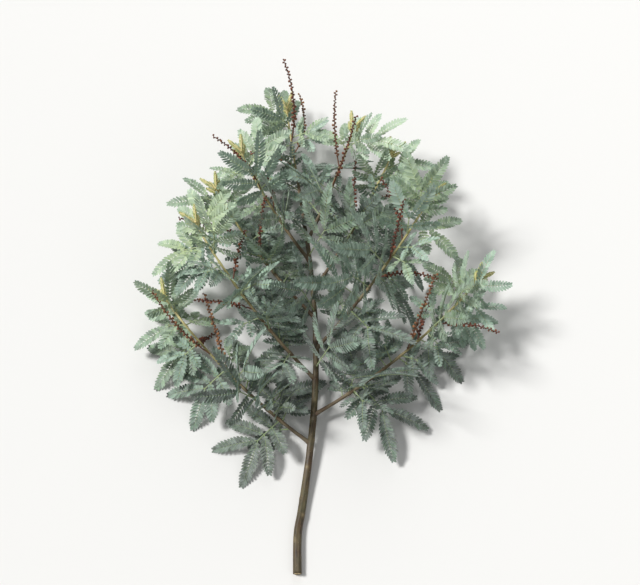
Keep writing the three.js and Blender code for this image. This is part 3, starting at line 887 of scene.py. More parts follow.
def makeBarkMaterial():
    finish = barkFinish
    material, wire, shader = newMaterial("olive bark")
    place = wire.place()
    clouds = wire.noise(place, finish["cloudScale"], finish["cloudDetail"])
    grain = grained(wire, wire.ramp(clouds, finish["shades"]), finish)
    pores = wire.add("ShaderNodeTexVoronoi", {"Vector": place, "Scale": finish["poreScale"]})
    spots = wire.ranged(pores, *finish["poreRange"])
    body = wire.tinted(grain, finish["scar"], spots, finish["porePaler"])
    waxed(wire, shader, wire.mixed(wire.painted("scar"), body, finish["scar"]), finish)
    bumped(wire, shader, wire.maths("ADD", grain.outputs["Height"], spots), finish)
    return material


woodFinish = {
    "light": "#d8c598", "ring": "#bda274", "rings": 26.0, "pith": "#8a6b42", "pithRange": (0.22, 0.12),
    "fibreScale": 1800.0, "fibreDetail": 3.0, "roughness": 0.75, "bumpStrength": 0.4, "bumpDepth": 0.0001,
}


def makeWoodMaterial():
    finish = woodFinish
    material, wire, shader = newMaterial("cut wood", roughness=finish["roughness"])
    away = wire.painted("ring")
    fibres = wire.noise(wire.place(), finish["fibreScale"], finish["fibreDetail"])
    wave = wire.maths("SINE", wire.maths("ADD", wire.maths("MULTIPLY", away, finish["rings"]), fibres))
    body = wire.mixed(wire.ranged(wave, -1.0, 1.0), finish["light"], finish["ring"])
    body = wire.mixed(wire.ranged(away, *finish["pithRange"]), body, finish["pith"])
    wire.fill(shader.inputs["Base Color"], body)
    bumped(wire, shader, fibres, finish)
    return material


budFinish = {
    "shades": [(0.0, "#24100b"), (0.4, "#4c2015"), (0.75, "#6e3523"), (1.0, "#9c5c40")],
    "dried": [(0.0, "#2a1810"), (0.5, "#6d4628"), (1.0, "#ab7f4f")],
    "speckleScale": 900.0, "speckleDetail": 3.0, "speckle": 0.5, "level": 0.75,
    "bloom": "#86604a", "bloomAmount": 0.25, "patchScale": 400.0, "sheen": 0.1,
    "bumpStrength": 0.5, "bumpDepth": 0.0002,
}


def makeBudMaterial():
    finish = budFinish
    material, wire, shader = newMaterial("bud skin", sheen=finish["sheen"])
    speckle = wire.noise(wire.place(), finish["speckleScale"], finish["speckleDetail"])
    level = wire.maths("ADD", wire.maths("MULTIPLY", speckle, finish["speckle"]), wire.painted("shade"))
    level = wire.maths("MULTIPLY", level, finish["level"])
    red = wire.ramp(level, finish["shades"])
    waxed(wire, shader, wire.mixed(wire.painted("dry"), red, wire.ramp(level, finish["dried"])), finish)
    bumped(wire, shader, speckle, finish)
    return material


# Leaflet and rib material of each slot
dress = {
    "foliage": (makeLeafletMaterial(), makeRibMaterial("leaf rib", ribFinish)),
    "young_leaf": (makeYoungMaterial(), makeRibMaterial("young rib", youngRibFinish)),
}
twigMaterial = makeTwigMaterial()
barkMaterial = makeBarkMaterial()
woodMaterial = makeWoodMaterial()
budMaterial = makeBudMaterial()
print("materials made")


# Patterns that are repeated: leaflets and buds, each in a few variants, with few faces

def placed(name, data, collection=None):
    thing = bpy.data.objects.new(name, data)
    (collection or bpy.context.scene.collection).objects.link(thing)
    return thing


def meshObject(name, points, faces, collection=None, edges=()):
    mesh = bpy.data.meshes.new(name)
    mesh.from_pydata([tuple(point) for point in points], edges, faces)
    return placed(name, mesh, collection)


def smoothed(thing):
    thing.data.polygons.foreach_set("use_smooth", [True] * len(thing.data.polygons))


def paint(mesh, name, values, kind="FLOAT"):
    layer = mesh.attributes.new(name, kind, "POINT")
    field = "vector" if kind == "FLOAT_VECTOR" else "value"
    layer.data.foreach_set(field, np.asarray(values, dtype=float if kind != "INT" else int).ravel())


leafletShape = {
    "stations": [(0.05, 0.22), (0.24, 0.43), (0.5, 0.5), (0.78, 0.43), (0.95, 0.2)],  # place, half width
    "belly": 0.09,  # half thickness, as a share of the width
    "fold": 0.14,  # how far the edges stand above the midrib
    "sickle": 0.06,
    "edge": [1.0, 0.0, 1.0, 0.3],  # how pale: left edge, midrib, right edge, underside
    "bends": [-0.2, -0.08, 0.03],  # fall of the tip, one variant each
}


def makeLeaflets():
    shape = leafletShape
    variants = bpy.data.collections.new("leaflet variants")
    for index, bend in enumerate(shape["bends"]):
        points = [(0, 0, 0)]
        for place, half in shape["stations"]:
            fall = bend * place * place
            shift = shape["sickle"] * sin(pi * place)
            points += [
                (-half + shift, place, fall + shape["fold"]),
                (shift, place, fall + shape["belly"]),
                (half + shift, place, fall + shape["fold"]),
                (shift, place, fall - shape["belly"]),
            ]
        points.append((shape["sickle"], 1.0, bend))
        tip = len(points) - 1
        faces = []
        for j in range(4):
            after = (j + 1) % 4
            faces.append((0, 1 + after, 1 + j))
            for a in range(1, tip - 4, 4):
                faces.append((a + j, a + after, a + 4 + after, a + 4 + j))
            faces.append((tip - 4 + j, tip - 4 + after, tip))
        leaflet = meshObject(f"leaflet{index}", points, faces, variants)
        paint(leaflet.data, "edge", [0.0] + shape["edge"] * len(shape["stations"]) + [1.0])
    return variants


# Outline of a bud from its stalk to its tip: distance from the axis, half width
budShape = {
    "profile": [
        (0.05, 0.2), (0.4, 0.22), (0.53, 0.57), (0.93, 0.91), (1.44, 1.0), (1.92, 0.82), (2.23, 0.47),
    ],
    "tip": 2.34,
    "columns": 8,
    "knob": 0.09,
    "stalkRows": 2,
    "variants": 3,
}


# A knobbly ball of small flower buds on a short stalk, standing along +Y
def makeBuds():
    shape = budShape
    columns = shape["columns"]
    variants = bpy.data.collections.new("bud variants")
    for index in range(shape["variants"]):
        draw = seededDraw(seeds["budKnobs"] + index)
        points = [(0, 0, 0)]
        for row, (place, half) in enumerate(shape["profile"]):
            depth = 0 if row < shape["stalkRows"] else shape["knob"]
            for column in range(columns):
                turn = 2 * pi * (column + 0.5 * (row % 2)) / columns
                knob = 1 + depth * (1 if (row + column) % 2 else -1) + draw(-0.5, 0.5) * depth
                points.append((half * knob * cos(turn), place, half * knob * sin(turn)))
        points.append((0, shape["tip"], 0))
        tip = len(points) - 1
        faces = []
        for column in range(columns):
            after = (column + 1) % columns
            faces.append((0, 1 + column, 1 + after))
            for row, a in enumerate(range(1, tip - columns, columns)):
                lower = (a + column, a + after)
                upper = (a + columns + column, a + columns + after)
                if row % 2:
                    faces += [(lower[0], upper[1], lower[1]), (lower[0], upper[0], upper[1])]
                else:
                    faces += [(lower[0], upper[0], lower[1]), (lower[1], upper[0], upper[1])]
            faces.append((tip - columns + column, tip, tip - columns + after))
        smoothed(meshObject(f"bud{index}", points, faces, variants))
    return variants


leafletVariants = makeLeaflets()
budVariants = makeBuds()


# Geometry Nodes: a tube along every rib, and leaflets or buds at points along it. What
# the trees read at each point of a rib is painted on it: thick, face, pairs and so on.

def tubed(wire, ribs, sides):
    curve = wire.add("GeometryNodeMeshToCurve", {"Mesh": ribs})
    ring = wire.add("GeometryNodeCurvePrimitiveCircle", {"Resolution": sides, "Radius": 1.0})
    tube = wire.add("GeometryNodeCurveToMesh", {
        "Curve": curve, "Profile Curve": ring, "Scale": wire.stored("thick"), "Fill Caps": True,
    })
    return curve, wire.add("GeometryNodeSetShadeSmooth", {"Geometry": tube, "Shade Smooth": True})


def rootsOn(wire, curve, first):
    bare = wire.add("GeometryNodeTrimCurve", {"Curve": curve, "Start": first, "End": 1.0})
    return wire.add("GeometryNodeResampleCurve", {"Curve": bare, "Count": wire.stored("pairs", "INT")})


def facing(wire, heading, upper):
    return wire.add(
        "FunctionNodeAxesToRotation", {"Primary Axis": heading, "Secondary Axis": upper},
        primary_axis="Y", secondary_axis="Z",
    )


# One of the three variants at each root, drawn by the seed
def planted(wire, roots, variants, seed, rotation, scale, where=True):
    picks = wire.add("GeometryNodeCollectionInfo", {
        "Collection": variants, "Separate Children": True, "Reset Children": True,
    })
    return wire.add("GeometryNodeInstanceOnPoints", {
        "Points": roots, "Selection": where, "Instance": picks, "Pick Instance": True,
        "Instance Index": wire.chance(0, 2, seed, "INT"), "Rotation": rotation, "Scale": scale,
    })


# Everything as one solid mesh in its material
def realized(wire, parts, material):
    joined = wire.add("GeometryNodeJoinGeometry", {"Geometry": parts})
    solid = wire.add("GeometryNodeRealizeInstances", {"Geometry": joined})
    return wire.add("GeometryNodeSetMaterial", {"Geometry": solid, "Material": material})


feather = {
    "firstLeaflet": 0.07,
    "pitch": 2.45,  # millimetres from one pair of leaflets to the next
    "breadth": 1.0,  # leaflet width as a share of the pitch
    "fewestPairs": 4,
    "tipNarrower": 0.25,  # share of the width that the last leaflet lacks
    "startWidth": (0.28, 2.1), "endWidth": (0.52, 1.9),  # share at an end of the rib, and its growth
    "spare": 1.08,  # how far the leaflets reach past the solid's edge
    "lengthDraw": (0.92, 1.05),
    "least": 0.0004,  # reach in metres below which no leaflet grows
    "lean": 0.62, "tipLean": 1.3, "lift": 0.26,  # forward, more so at the tip, and up
    "twist": 0.3,  # radians
    "ribPoints": 13, "ribSides": 5, "ribRadius": (0.42, 0.2), "rachisRadius": (0.62, 0.46),
    "heel": 0.32, "heelLength": 0.05, "rachisHeelLength": 0.08,  # swelling where a rib begins
    "rachisEnd": 0.62,  # how far the rachis goes on past its last pair
    "shadeSpread": 0.2, "pinnaSpread": 0.06,  # change of shade among leaflets and among pinnae
    "freshFade": 0.6,  # share of the fresh colour that is lost towards the tip
}
youngFeather = dict(
    feather, pitch=1.4, breadth=0.95, lean=0.95, tipLean=0.9, lift=0.5, ribRadius=(0.5, 0.25),
    rachisRadius=(0.68, 0.5), shadeSpread=0.3, spare=1.45,
)


# One row of leaflets, pointing sideways, forward by lean and up by lift
def featherRow(wire, given, roots, side):
    ahead = wire.add("GeometryNodeInputTangent")
    face = wire.stored("face", "FLOAT_VECTOR")
    sideways = wire.scaled(wire.vectors("CROSS_PRODUCT", ahead, face), float(side))
    heading = wire.vectors("ADD", sideways, wire.scaled(ahead, wire.stored("lean")))
    heading = wire.vectors("ADD", heading, wire.scaled(face, wire.stored("lift")))
    seed = wire.maths("ADD", given["Seed"], seeds["row"] + side)
    angle = wire.chance(wire.maths("MULTIPLY", given["Twist"], -1.0), given["Twist"], seed)
    twist = wire.add("FunctionNodeAxisAngleToRotation", {"Axis": forward, "Angle": angle})
    twisted = wire.add(
        "FunctionNodeRotateRotation", {"Rotation": facing(wire, heading, face), "Rotate By": twist},
        rotation_space="LOCAL",
    )
    reach = wire.stored("reach")
    broad = wire.stored("broad")
    length = wire.maths("MULTIPLY", reach, wire.chance(*feather["lengthDraw"], seed))
    size = wire.add("ShaderNodeCombineXYZ", {"X": broad, "Y": length, "Z": broad})
    grows = wire.add("FunctionNodeCompare", {"A": reach, "B": feather["least"]}, operation="GREATER_THAN")
    row = planted(wire, roots, given["Leaflets"], seed, twisted, size, grows)
    below = wire.maths("MULTIPLY", given["Shade Spread"], -1.0)
    change = wire.chance(below, given["Shade Spread"], seed)
    return wire.marked(row, "shade", wire.maths("ADD", wire.stored("shade"), change))


def makeFeatherTree():
    tree, wire = newTree("leaflets on ribs", "GeometryNodeTree", {
        "Ribs": "Geometry", "Leaflets": "Collection", "First Leaflet": "Float", "Twist": "Float",
        "Shade Spread": "Float", "Rib Sides": "Int", "Seed": "Int", "Leaflet Material": "Material",
        "Rib Material": "Material",
    }, {"Geometry": "Geometry"})
    given = wire.add("NodeGroupInput").outputs
    curve, tubes = tubed(wire, given["Ribs"], given["Rib Sides"])
    roots = rootsOn(wire, curve, given["First Leaflet"])
    rows = [featherRow(wire, given, roots, side) for side in (-1, 1)]
    blades = wire.marked(wire.add("GeometryNodeJoinGeometry", {"Geometry": rows}), "blade", 1.0)
    isBlade = wire.add("FunctionNodeCompare", {"A": wire.stored("blade"), "B": 0.5}, operation="GREATER_THAN")
    dressed = wire.add("GeometryNodeSetMaterial", {
        "Geometry": realized(wire, [tubes, blades], given["Rib Material"]),
        "Selection": isBlade, "Material": given["Leaflet Material"],
    })
    wire.add("NodeGroupOutput", {"Geometry": dressed})
    return tree


budString = {
    "pitch": 1.3, "firstBud": 0.16, "budRadius": 1.27, "tipShare": 0.66,
    "axisRadius": (0.62, 0.3), "axisSides": 7, "axisShade": 0.35, "points": 26,
    "wobble": 0.4,  # how far a bud may turn from its place, in radians
    "slantDraw": (0.1, 0.5), "sizeDraw": (0.68, 1.15), "shadeDraw": (-0.05, 0.85),
    "driedShare": 0.3, "driedDraw": (0.5, 1), "aliveDraw": (0, 0.25),
}


# Buds turned round their axis by the golden angle
def makeBeadTree():
    tree, wire = newTree("buds on axis", "GeometryNodeTree", {
        "Axis": "Geometry", "Buds": "Collection", "First Bud": "Float", "Turn": "Float",
        "Axis Sides": "Int", "Seed": "Int", "Bud Material": "Material",
    }, {"Geometry": "Geometry"})
    given = wire.add("NodeGroupInput").outputs
    seed = given["Seed"]
    axis, tube = tubed(wire, given["Axis"], given["Axis Sides"])
    roots = rootsOn(wire, axis, given["First Bud"])
    ahead = wire.add("GeometryNodeInputTangent")
    wobble = wire.chance(-budString["wobble"], budString["wobble"], seed)
    turn = wire.maths("MULTIPLY", wire.add("GeometryNodeInputIndex"), given["Turn"])
    turn = wire.maths("ADD", turn, wobble)
    outward = wire.add("ShaderNodeVectorRotate", {
        "Vector": wire.stored("face", "FLOAT_VECTOR"), "Axis": ahead, "Angle": turn,
    }, rotation_type="AXIS_ANGLE")
    slant = wire.chance(*budString["slantDraw"], seed)
    turned = facing(wire, wire.vectors("ADD", outward, wire.scaled(ahead, slant)), ahead)
    size = wire.maths("MULTIPLY", wire.stored("swell"), wire.chance(*budString["sizeDraw"], seed))
    scale = wire.add("ShaderNodeCombineXYZ", {"X": size, "Y": size, "Z": size})
    buds = planted(wire, roots, given["Buds"], seed, turned, scale)
    buds = wire.marked(buds, "shade", wire.chance(*budString["shadeDraw"], seed))
    wire.add("NodeGroupOutput", {"Geometry": realized(wire, [tube, buds], given["Bud Material"])})
    return tree


featherTree = makeFeatherTree()
beadTree = makeBeadTree()


# Ribs for the trees: points on a smooth line, with what the trees read at each

def placesAmong(rows, count):
    spots = np.linspace(0, len(rows) - 1, count)
    before = np.minimum(spots.astype(int), len(rows) - 2)
    return before, (spots - before)[:, None]


def smoothLine(points, count):
    points = np.array(points)
    tangents = np.gradient(points, axis=0)
    k, t = placesAmong(points, count)
    return (
        (2 * t**3 - 3 * t**2 + 1) * points[k] + (t**3 - 2 * t**2 + t) * tangents[k]
        + (3 * t**2 - 2 * t**3) * points[k + 1] + (t**3 - t**2) * tangents[k + 1]
    )


def straightMix(values, count):
    values = np.array(values)
    k, t = placesAmong(values, count)
    return values[k] * (1 - t) + values[k + 1] * t


def smoothRib(frames, count):
    line = smoothLine([rib.at for rib in frames], count)
    return {"points": line, "face": straightMix([rib.out for rib in frames], count)}


def tapered(t, radii):
    base, tip = radii
    return base + (tip - base) * t


# Factor of a swelling that fades over a length
def swollen(away, height, length):
    return 1 + height * np.exp(-((away / length) ** 2))


# How wide a pinna is along its length, as a share of its widest part
def featherWidth(t, look):
    start, widening = look["startWidth"]
    end, narrowing = look["endWidth"]
    return np.minimum(1, start + widening * t) * np.minimum(1, end + narrowing * (1 - t))


def pinnaRib(pinna, look, shade, fresh):
    t = np.linspace(0, 1, look["ribPoints"])
    leafy = pinna["length"] * (1 - look["firstLeaflet"])
    pairs = max(look["fewestPairs"], round(leafy / look["pitch"]) + 1)
    return {
        **smoothRib(pinna["rib"], len(t)),
        "thick": tapered(t, look["ribRadius"]) * swollen(t, look["heel"], look["heelLength"]),
        "reach": pinna["halfWidth"] * featherWidth(t, look) * look["spare"],
        "broad": leafy / (pairs - 1) * look["breadth"] * (1 - look["tipNarrower"] * t**3),
        "lean": look["lean"] + look["tipLean"] * t**4,
        "lift": look["lift"],
        "pairs": pairs,
        "shade": shade,
        "fresh": fresh * (1 - look["freshFade"] * t),
    }


# The rachis bears no leaflets, so their reach on it is nothing
def rachisRib(plan, look, shade, fresh):
    t = np.linspace(0, 1, look["ribPoints"])
    pairs = plan["form"]["pairs"]
    end = (pairs + look["rachisEnd"]) / (pairs + 1)
    frames = [frameAt(plan["rachis"], end * k / (len(t) - 1)) for k in range(len(t))]
    return {
        "points": np.array([rib.at for rib in frames]),
        "face": np.array([rib.out for rib in frames]),
        "thick": tapered(t, look["rachisRadius"]) * swollen(t, look["heel"], look["rachisHeelLength"]),
        "reach": 0,
        "broad": 0,
        "lean": 0,
        "lift": 0,
        "pairs": 2,
        "shade": shade,
        "fresh": fresh,
    }


def leafRibs(plan, look, shade, fresh=0.0):
    draw = seededDraw(plan["form"]["seed"] + seeds["pinnaTone"])
    ribs = [rachisRib(plan, look, shade, fresh)]
    for pinna in plan["pinnae"]:
        change = draw(-look["pinnaSpread"], look["pinnaSpread"])
        ribs.append(pinnaRib(pinna, look, shade + change, fresh))
    return ribs


# Fields that turn into metres, and those that the finished mesh keeps
inMillimetres = ("thick", "reach", "broad", "swell")
keptFields = {"shade", "fresh", "edge", "dry", "position", "sharp_face", "material_index"}


# One mesh of loose edges for all ribs; a value that a rib has all along it is repeated
def ribObject(name, ribs):
    counts = [len(rib["points"]) for rib in ribs]
    starts = set(np.cumsum(counts).tolist())
    edges = [(k, k + 1) for k in range(sum(counts) - 1) if k + 1 not in starts]
    thing = meshObject(name, np.concatenate([rib["points"] for rib in ribs]) * mm, [], edges=edges)
    for field in ribs[0]:
        if field == "points":
            continue
        values = [np.broadcast_to(rib[field], (count, *np.shape(rib[field])[1:]))
                  for rib, count in zip(ribs, counts)]
        kind = {"face": "FLOAT_VECTOR", "pairs": "INT"}.get(field, "FLOAT")
        paint(thing.data, field, np.concatenate(values) * (mm if field in inMillimetres else 1), kind)
    return thing


# The modifier's result becomes a plain mesh, with the attributes that materials read
def grownByTree(thing, tree, settings):
    modifier = thing.modifiers.new("growth", "NODES")
    modifier.node_group = tree
    sockets = {item.name: item.identifier for item in tree.interface.items_tree if item.in_out == "INPUT"}
    for name, value in settings.items():
        modifier[sockets[name]] = value
    depsgraph = bpy.context.evaluated_depsgraph_get()
    mesh = bpy.data.meshes.new_from_object(
        thing.evaluated_get(depsgraph), preserve_all_data_layers=True, depsgraph=depsgraph,
    )
    thing.modifiers.clear()
    thing.data = mesh
    mesh.name = thing.name
    for name in [layer.name for layer in mesh.attributes]:
        if name not in keptFields and not name.startswith("."):
            mesh.attributes.remove(mesh.attributes[name])
    settle(mesh)
    return thing


# Nothing dips into the floor
def settle(mesh, floor=0.00003):
    points = np.zeros(len(mesh.vertices) * 3, dtype=np.float32)
    mesh.vertices.foreach_get("co", points)
    points = points.reshape(-1, 3)
    points[:, 2] = np.maximum(points[:, 2], floor)
    mesh.vertices.foreach_set("co", points.ravel())
    mesh.update()


def finished(thing, node):
    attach(thing, "root")
    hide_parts(node)


def featherPiece(name, node, ribs, look, slot, seed):
    leafletMaterial, ribMaterial = dress[slot]
    thing = grownByTree(ribObject(name, ribs), featherTree, {
        "Leaflets": leafletVariants, "First Leaflet": look["firstLeaflet"], "Twist": look["twist"],
        "Shade Spread": look["shadeSpread"], "Rib Sides": look["ribSides"], "Seed": seed,
        "Leaflet Material": leafletMaterial, "Rib Material": ribMaterial,
    })
    finished(thing, node)


# Shade runs from 0, darkest, to 1, and fresh from silver to yellow-green. The outer leaves are
# the palest; inner leaves are darker, partly as older leaves and partly as painted shade, and
# lower leaves are painted darker and upper ones paler, as painted shade and light through the
# sprig. Most of the newest and a few others are fresh.
leafTone = {
    "outer": 0.62, "inner": 0.22, "innerAgeAndShade": 1.2, "draw": (-0.14, 0.14),
    "paintedShadeByHeight": 0.36, "topHeight": 65, "middle": 0.6,
    "freshShare": 0.2, "freshDraw": (0.4, 0.95), "silverDraw": (0, 0.15),
    "newest": 0.2, "newShare": 0.6, "newDraw": (0.5, 0.95), "tip": 0.34,
}


def leafShade(plan, seed):
    tone = leafTone
    draw = seededDraw(seed)
    # Inner leaves darker: partly their own older green, partly painted shade deep in the sprig
    shade = blendOf(tone["outer"], tone["inner"], min(1, plan["inward"] * tone["innerAgeAndShade"]))
    shade += draw(*tone["draw"])
    # Painted shade and light: lower leaves darker and upper leaves paler, as if lit from above
    height = min(1, plan["rachis"][-1].at[2] / tone["topHeight"])
    shade += tone["paintedShadeByHeight"] * (height - tone["middle"])
    fresh = draw(*tone["freshDraw"]) if draw(0, 1) < tone["freshShare"] else draw(*tone["silverDraw"])
    if plan["inward"] < tone["newest"] and draw(0, 1) < tone["newShare"]:
        fresh = max(fresh, draw(*tone["newDraw"]))
    return shade, fresh


innerFinger = {
    "count": 4, "start": 0.42, "step": 0.16, "length": 8.5, "lengthDraw": (0.75, 1.2), "rings": 4,
    "halfWidth": 1.5, "turnDraw": (-20, 20), "rise": 0.4, "spread": 0.5, "spreadDraw": (-0.15, 0.15),
    "tilt": 0.2, "droop": -45, "droopDraw": (-15, 15), "shadeDraw": (0.35, 0.75),
}


# The youngest leaf of a tip, still folded between the others
def innerTip(plan, index):
    finger = innerFinger
    draw = seededDraw(seeds["innerTip"] + index)
    ribs = []
    for k in range(finger["count"]):
        root = frameAt(plan["rachis"], finger["start"] + finger["step"] * k)
        turn = radians(goldenAngle * k + draw(*finger["turnDraw"]))
        away = plus(times(root.side, cos(turn)), root.out, abs(sin(turn)) + finger["rise"])
        heading = plus(root.along, unit(away), finger["spread"] + draw(*finger["spreadDraw"]))
        length = finger["length"] * draw(*finger["lengthDraw"])
        rib = growRib(
            root.at, heading, plus(root.out, root.side, finger["tilt"]), evenSteps(length, finger["rings"]),
            droop=finger["droop"] + draw(*finger["droopDraw"]), low=youngLeaf["pinnaHalfWidth"],
        )
        pinna = {"rib": rib, "length": length, "halfWidth": finger["halfWidth"]}
        ribs.append(pinnaRib(pinna, youngFeather, draw(*finger["shadeDraw"]), 0.0))
    return ribs


for index, branch in enumerate(branches):
    ribs = []
    for rank, plan in enumerate(branch["leaves"] + branch["fillers"]):
        shade, fresh = leafShade(plan, seeds["leafTone"] + index * seeds["step"] + rank)
        ribs += leafRibs(plan, feather, shade, fresh)
    name = branch["name"]
    featherPiece(name + "_leaves", name, ribs, feather, "foliage", seeds["leafTree"] + index)
    ribs = leafRibs(branch["tip"], youngFeather, leafTone["tip"]) + innerTip(branch["tip"], index)
    name += "_young_tip"
    featherPiece(name + "_leaf", name, ribs, youngFeather, "young_leaf", seeds["tipTree"] + index)

for index, (name, plan) in enumerate(singles):
    shade, fresh = leafShade(plan, seeds["frondTone"] + index)
    ribs = leafRibs(plan, feather, shade, fresh)
    featherPiece(name + "_leaf", name, ribs, feather, "foliage", seeds["frondTree"] + index)
print("leaves and young tips dressed")


# Bud strings: about three in ten are drying, and browner for it

def racemeRib(plan):
    look = budString
    t = np.linspace(0, 1, look["points"])
    draw = seededDraw(plan["seed"] + seeds["dried"])
    return {
        **smoothRib(plan["rib"], len(t)),
        "thick": tapered(t, look["axisRadius"]),
        "swell": look["budRadius"] * (1 + (look["tipShare"] - 1) * t),
        "pairs": round(plan["length"] * (1 - look["firstBud"]) / look["pitch"]) + 1,
        "shade": look["axisShade"],
        "dry": draw(*look["driedDraw"]) if draw(0, 1) < look["driedShare"] else draw(*look["aliveDraw"]),
    }


strings = [plan for branch in branches for plan in branch["racemes"]]
for number, plan in enumerate(strings, start=1):
    node = f"raceme_{number}"
    thing = grownByTree(ribObject(node + "_buds", [racemeRib(plan)]), beadTree, {
        "Buds": budVariants, "First Bud": budString["firstBud"], "Turn": radians(goldenAngle),
        "Axis Sides": budString["axisSides"], "Seed": plan["seed"], "Bud Material": budMaterial,
    })
    finished(thing, node)
print("bud strings dressed:", len(strings))


# Twigs and the main stem: lofted tubes with ridges, swellings and scars

def unitRows(rows):
    return rows / np.linalg.norm(rows, axis=1)[:, None]


def turnsRound(sides):
    return np.linspace(0, 2 * pi, sides, endpoint=False)


# Rings about a line: every point stands away from its centre by its own distance
def ringsRound(centres, ahead, faces, away):
    turn = turnsRound(away.shape[1])
    sides = unitRows(np.cross(ahead, faces))
    faces = np.cross(sides, ahead)
    return (
        centres[:, None, :]
        + away[..., None] * (np.cos(turn)[None, :, None] * sides[:, None, :]
                             + np.sin(turn)[None, :, None] * faces[:, None, :])
    )


# Where the grain reads its place: run along the wood, and half a turn out and back
def grainFields(run, sides):
    halfTurns = np.abs(turnsRound(sides) - pi) / pi
    return {"along": np.repeat(run, sides), "round": np.tile(halfTurns, len(run))}


def loft(name, rings, fields, materials):
    count, sides = rings.shape[:2]
    faces = []
    for k in range(count - 1):
        for j in range(sides):
            after = (j + 1) % sides
            faces.append((k * sides + j, (k + 1) * sides + j, (k + 1) * sides + after, k * sides + after))
    centre = count * sides
    for j in range(sides):
        after = (j + 1) % sides
        faces.append((centre, j, after))
        faces.append((centre + 1, (count - 1) * sides + after, (count - 1) * sides + j))
    ends = [rings[0].mean(axis=0), rings[-1].mean(axis=0)]
    thing = meshObject(name, np.concatenate([rings.reshape(-1, 3), ends]) * mm, faces)
    smoothed(thing)
    for field, values in fields.items():
        flat = np.asarray(values).reshape(-1)
        paint(thing.data, field, np.concatenate([flat, [flat[:sides].mean(), flat[-sides:].mean()]]))
    for material in materials:
        thing.data.materials.append(material)
    return thing


twigSkin = {
    "sides": 12, "rings": 56,
    "share": 0.9,  # the round twig inside the five-sided one
    "ridges": 5, "ridgeDepth": 0.07, "ridgeTwist": 3.0,
    "knot": 0.28, "knotLength": 2.2,  # swelling under each leaf
    "collar": 0.55, "collarLength": 4.5,  # swelling where the twig leaves the stem
    "grainPitch": 0.12, "ageing": 1.3,
}


def twigPiece(branch):
    skin = twigSkin
    t = np.linspace(0, 1, skin["rings"])
    line = smoothRib(branch["frames"], len(t))
    centres = line["points"]
    length = float(np.linalg.norm(np.diff(centres, axis=0), axis=1).sum())
    radius = tapered(t, (twig["baseRadius"], twig["tipRadius"])) * skin["share"]
    radius = radius * swollen(t * length, skin["collar"], skin["collarLength"])
    for plan in branch["leaves"]:
        radius = radius * swollen((t - plan["fraction"]) * length, skin["knot"], skin["knotLength"])
    turn = turnsRound(skin["sides"])
    ridge = 1 + skin["ridgeDepth"] * np.cos(skin["ridges"] * turn[None, :] + skin["ridgeTwist"] * t[:, None])
    ahead = unitRows(np.gradient(centres, axis=0))
    rings = ringsRound(centres, ahead, line["face"], radius[:, None] * ridge)
    fields = grainFields(t * length * skin["grainPitch"], skin["sides"])
    fields["age"] = np.repeat((1 - t) ** skin["ageing"], skin["sides"])
    thing = loft(branch["name"] + "_twig", rings, fields, [twigMaterial])
    finished(thing, branch["name"])


for branch in branches:
    twigPiece(branch)

bark = {
    "sides": 32, "rings": 200,
    "share": 0.92,  # the round stem inside the eight-sided one
    "waves": 7, "waveDepth": 0.016, "phaseDraw": (0, 6), "driftDraw": (0.02, 0.12),
    "scars": 13, "firstScar": 12, "scarSpan": 150, "scarDraw": (-3, 3), "scarHeight": 0.32,
    "scarSize": (1.5, 0.55), "scarTint": 0.8,  # length in millimetres, width in radians
    "knee": 0.3, "kneeBefore": 2, "kneeSize": (5.0, 1.2),
    "grainPitch": 0.1, "floor": 0.02,
    "cutRings": [(0.02, 0.22), (0.3, 0.2), (0.6, 0.18), (0.86, 0.16), (0.9, 0.02)],  # share of the rim, inset
    "woodBands": 3,  # those between the first cut rings show wood
}


def bumpAt(run, turn, place, angle, size):
    offset = np.angle(np.exp(1j * (turn - angle)))
    return np.exp(-(((run[:, None] - place) / size[0]) ** 2) - ((offset[None, :] / size[1]) ** 2))


# Leaf scars wind up the bare stem; a knee swells under each side shoot
def barkSurface(run, turn):
    t = np.linspace(0, 1, len(run))
    draw = seededDraw(seeds["bark"])
    away = tapered(t, (stem["cutRadius"], stem["topRadius"]))[:, None] * np.ones(len(turn))
    away *= bark["share"]
    for folds in range(2, 2 + bark["waves"]):
        phase = draw(*bark["phaseDraw"])
        drift = run[:, None] * draw(*bark["driftDraw"])
        away *= 1 + bark["waveDepth"] * np.sin(folds * turn[None, :] + phase + drift)
    scar = np.zeros_like(away)
    for k in range(bark["scars"]):
        place = bark["firstScar"] + k * (bark["scarSpan"] / bark["scars"]) + draw(*bark["scarDraw"])
        angle = radians(goldenAngle * k) % (2 * pi)
        scar = np.maximum(scar, bumpAt(run, turn, place, angle, bark["scarSize"]))
    for shoot in shoots:
        place = stem["restLength"] + stem["archLength"] * shoot["place"] - bark["kneeBefore"]
        angle = 0 if shoot["side"] > 0 else pi
        away = away + bark["knee"] * bumpAt(run, turn, place, angle, bark["kneeSize"])
    return away + bark["scarHeight"] * scar * (away / stem["cutRadius"]), scar


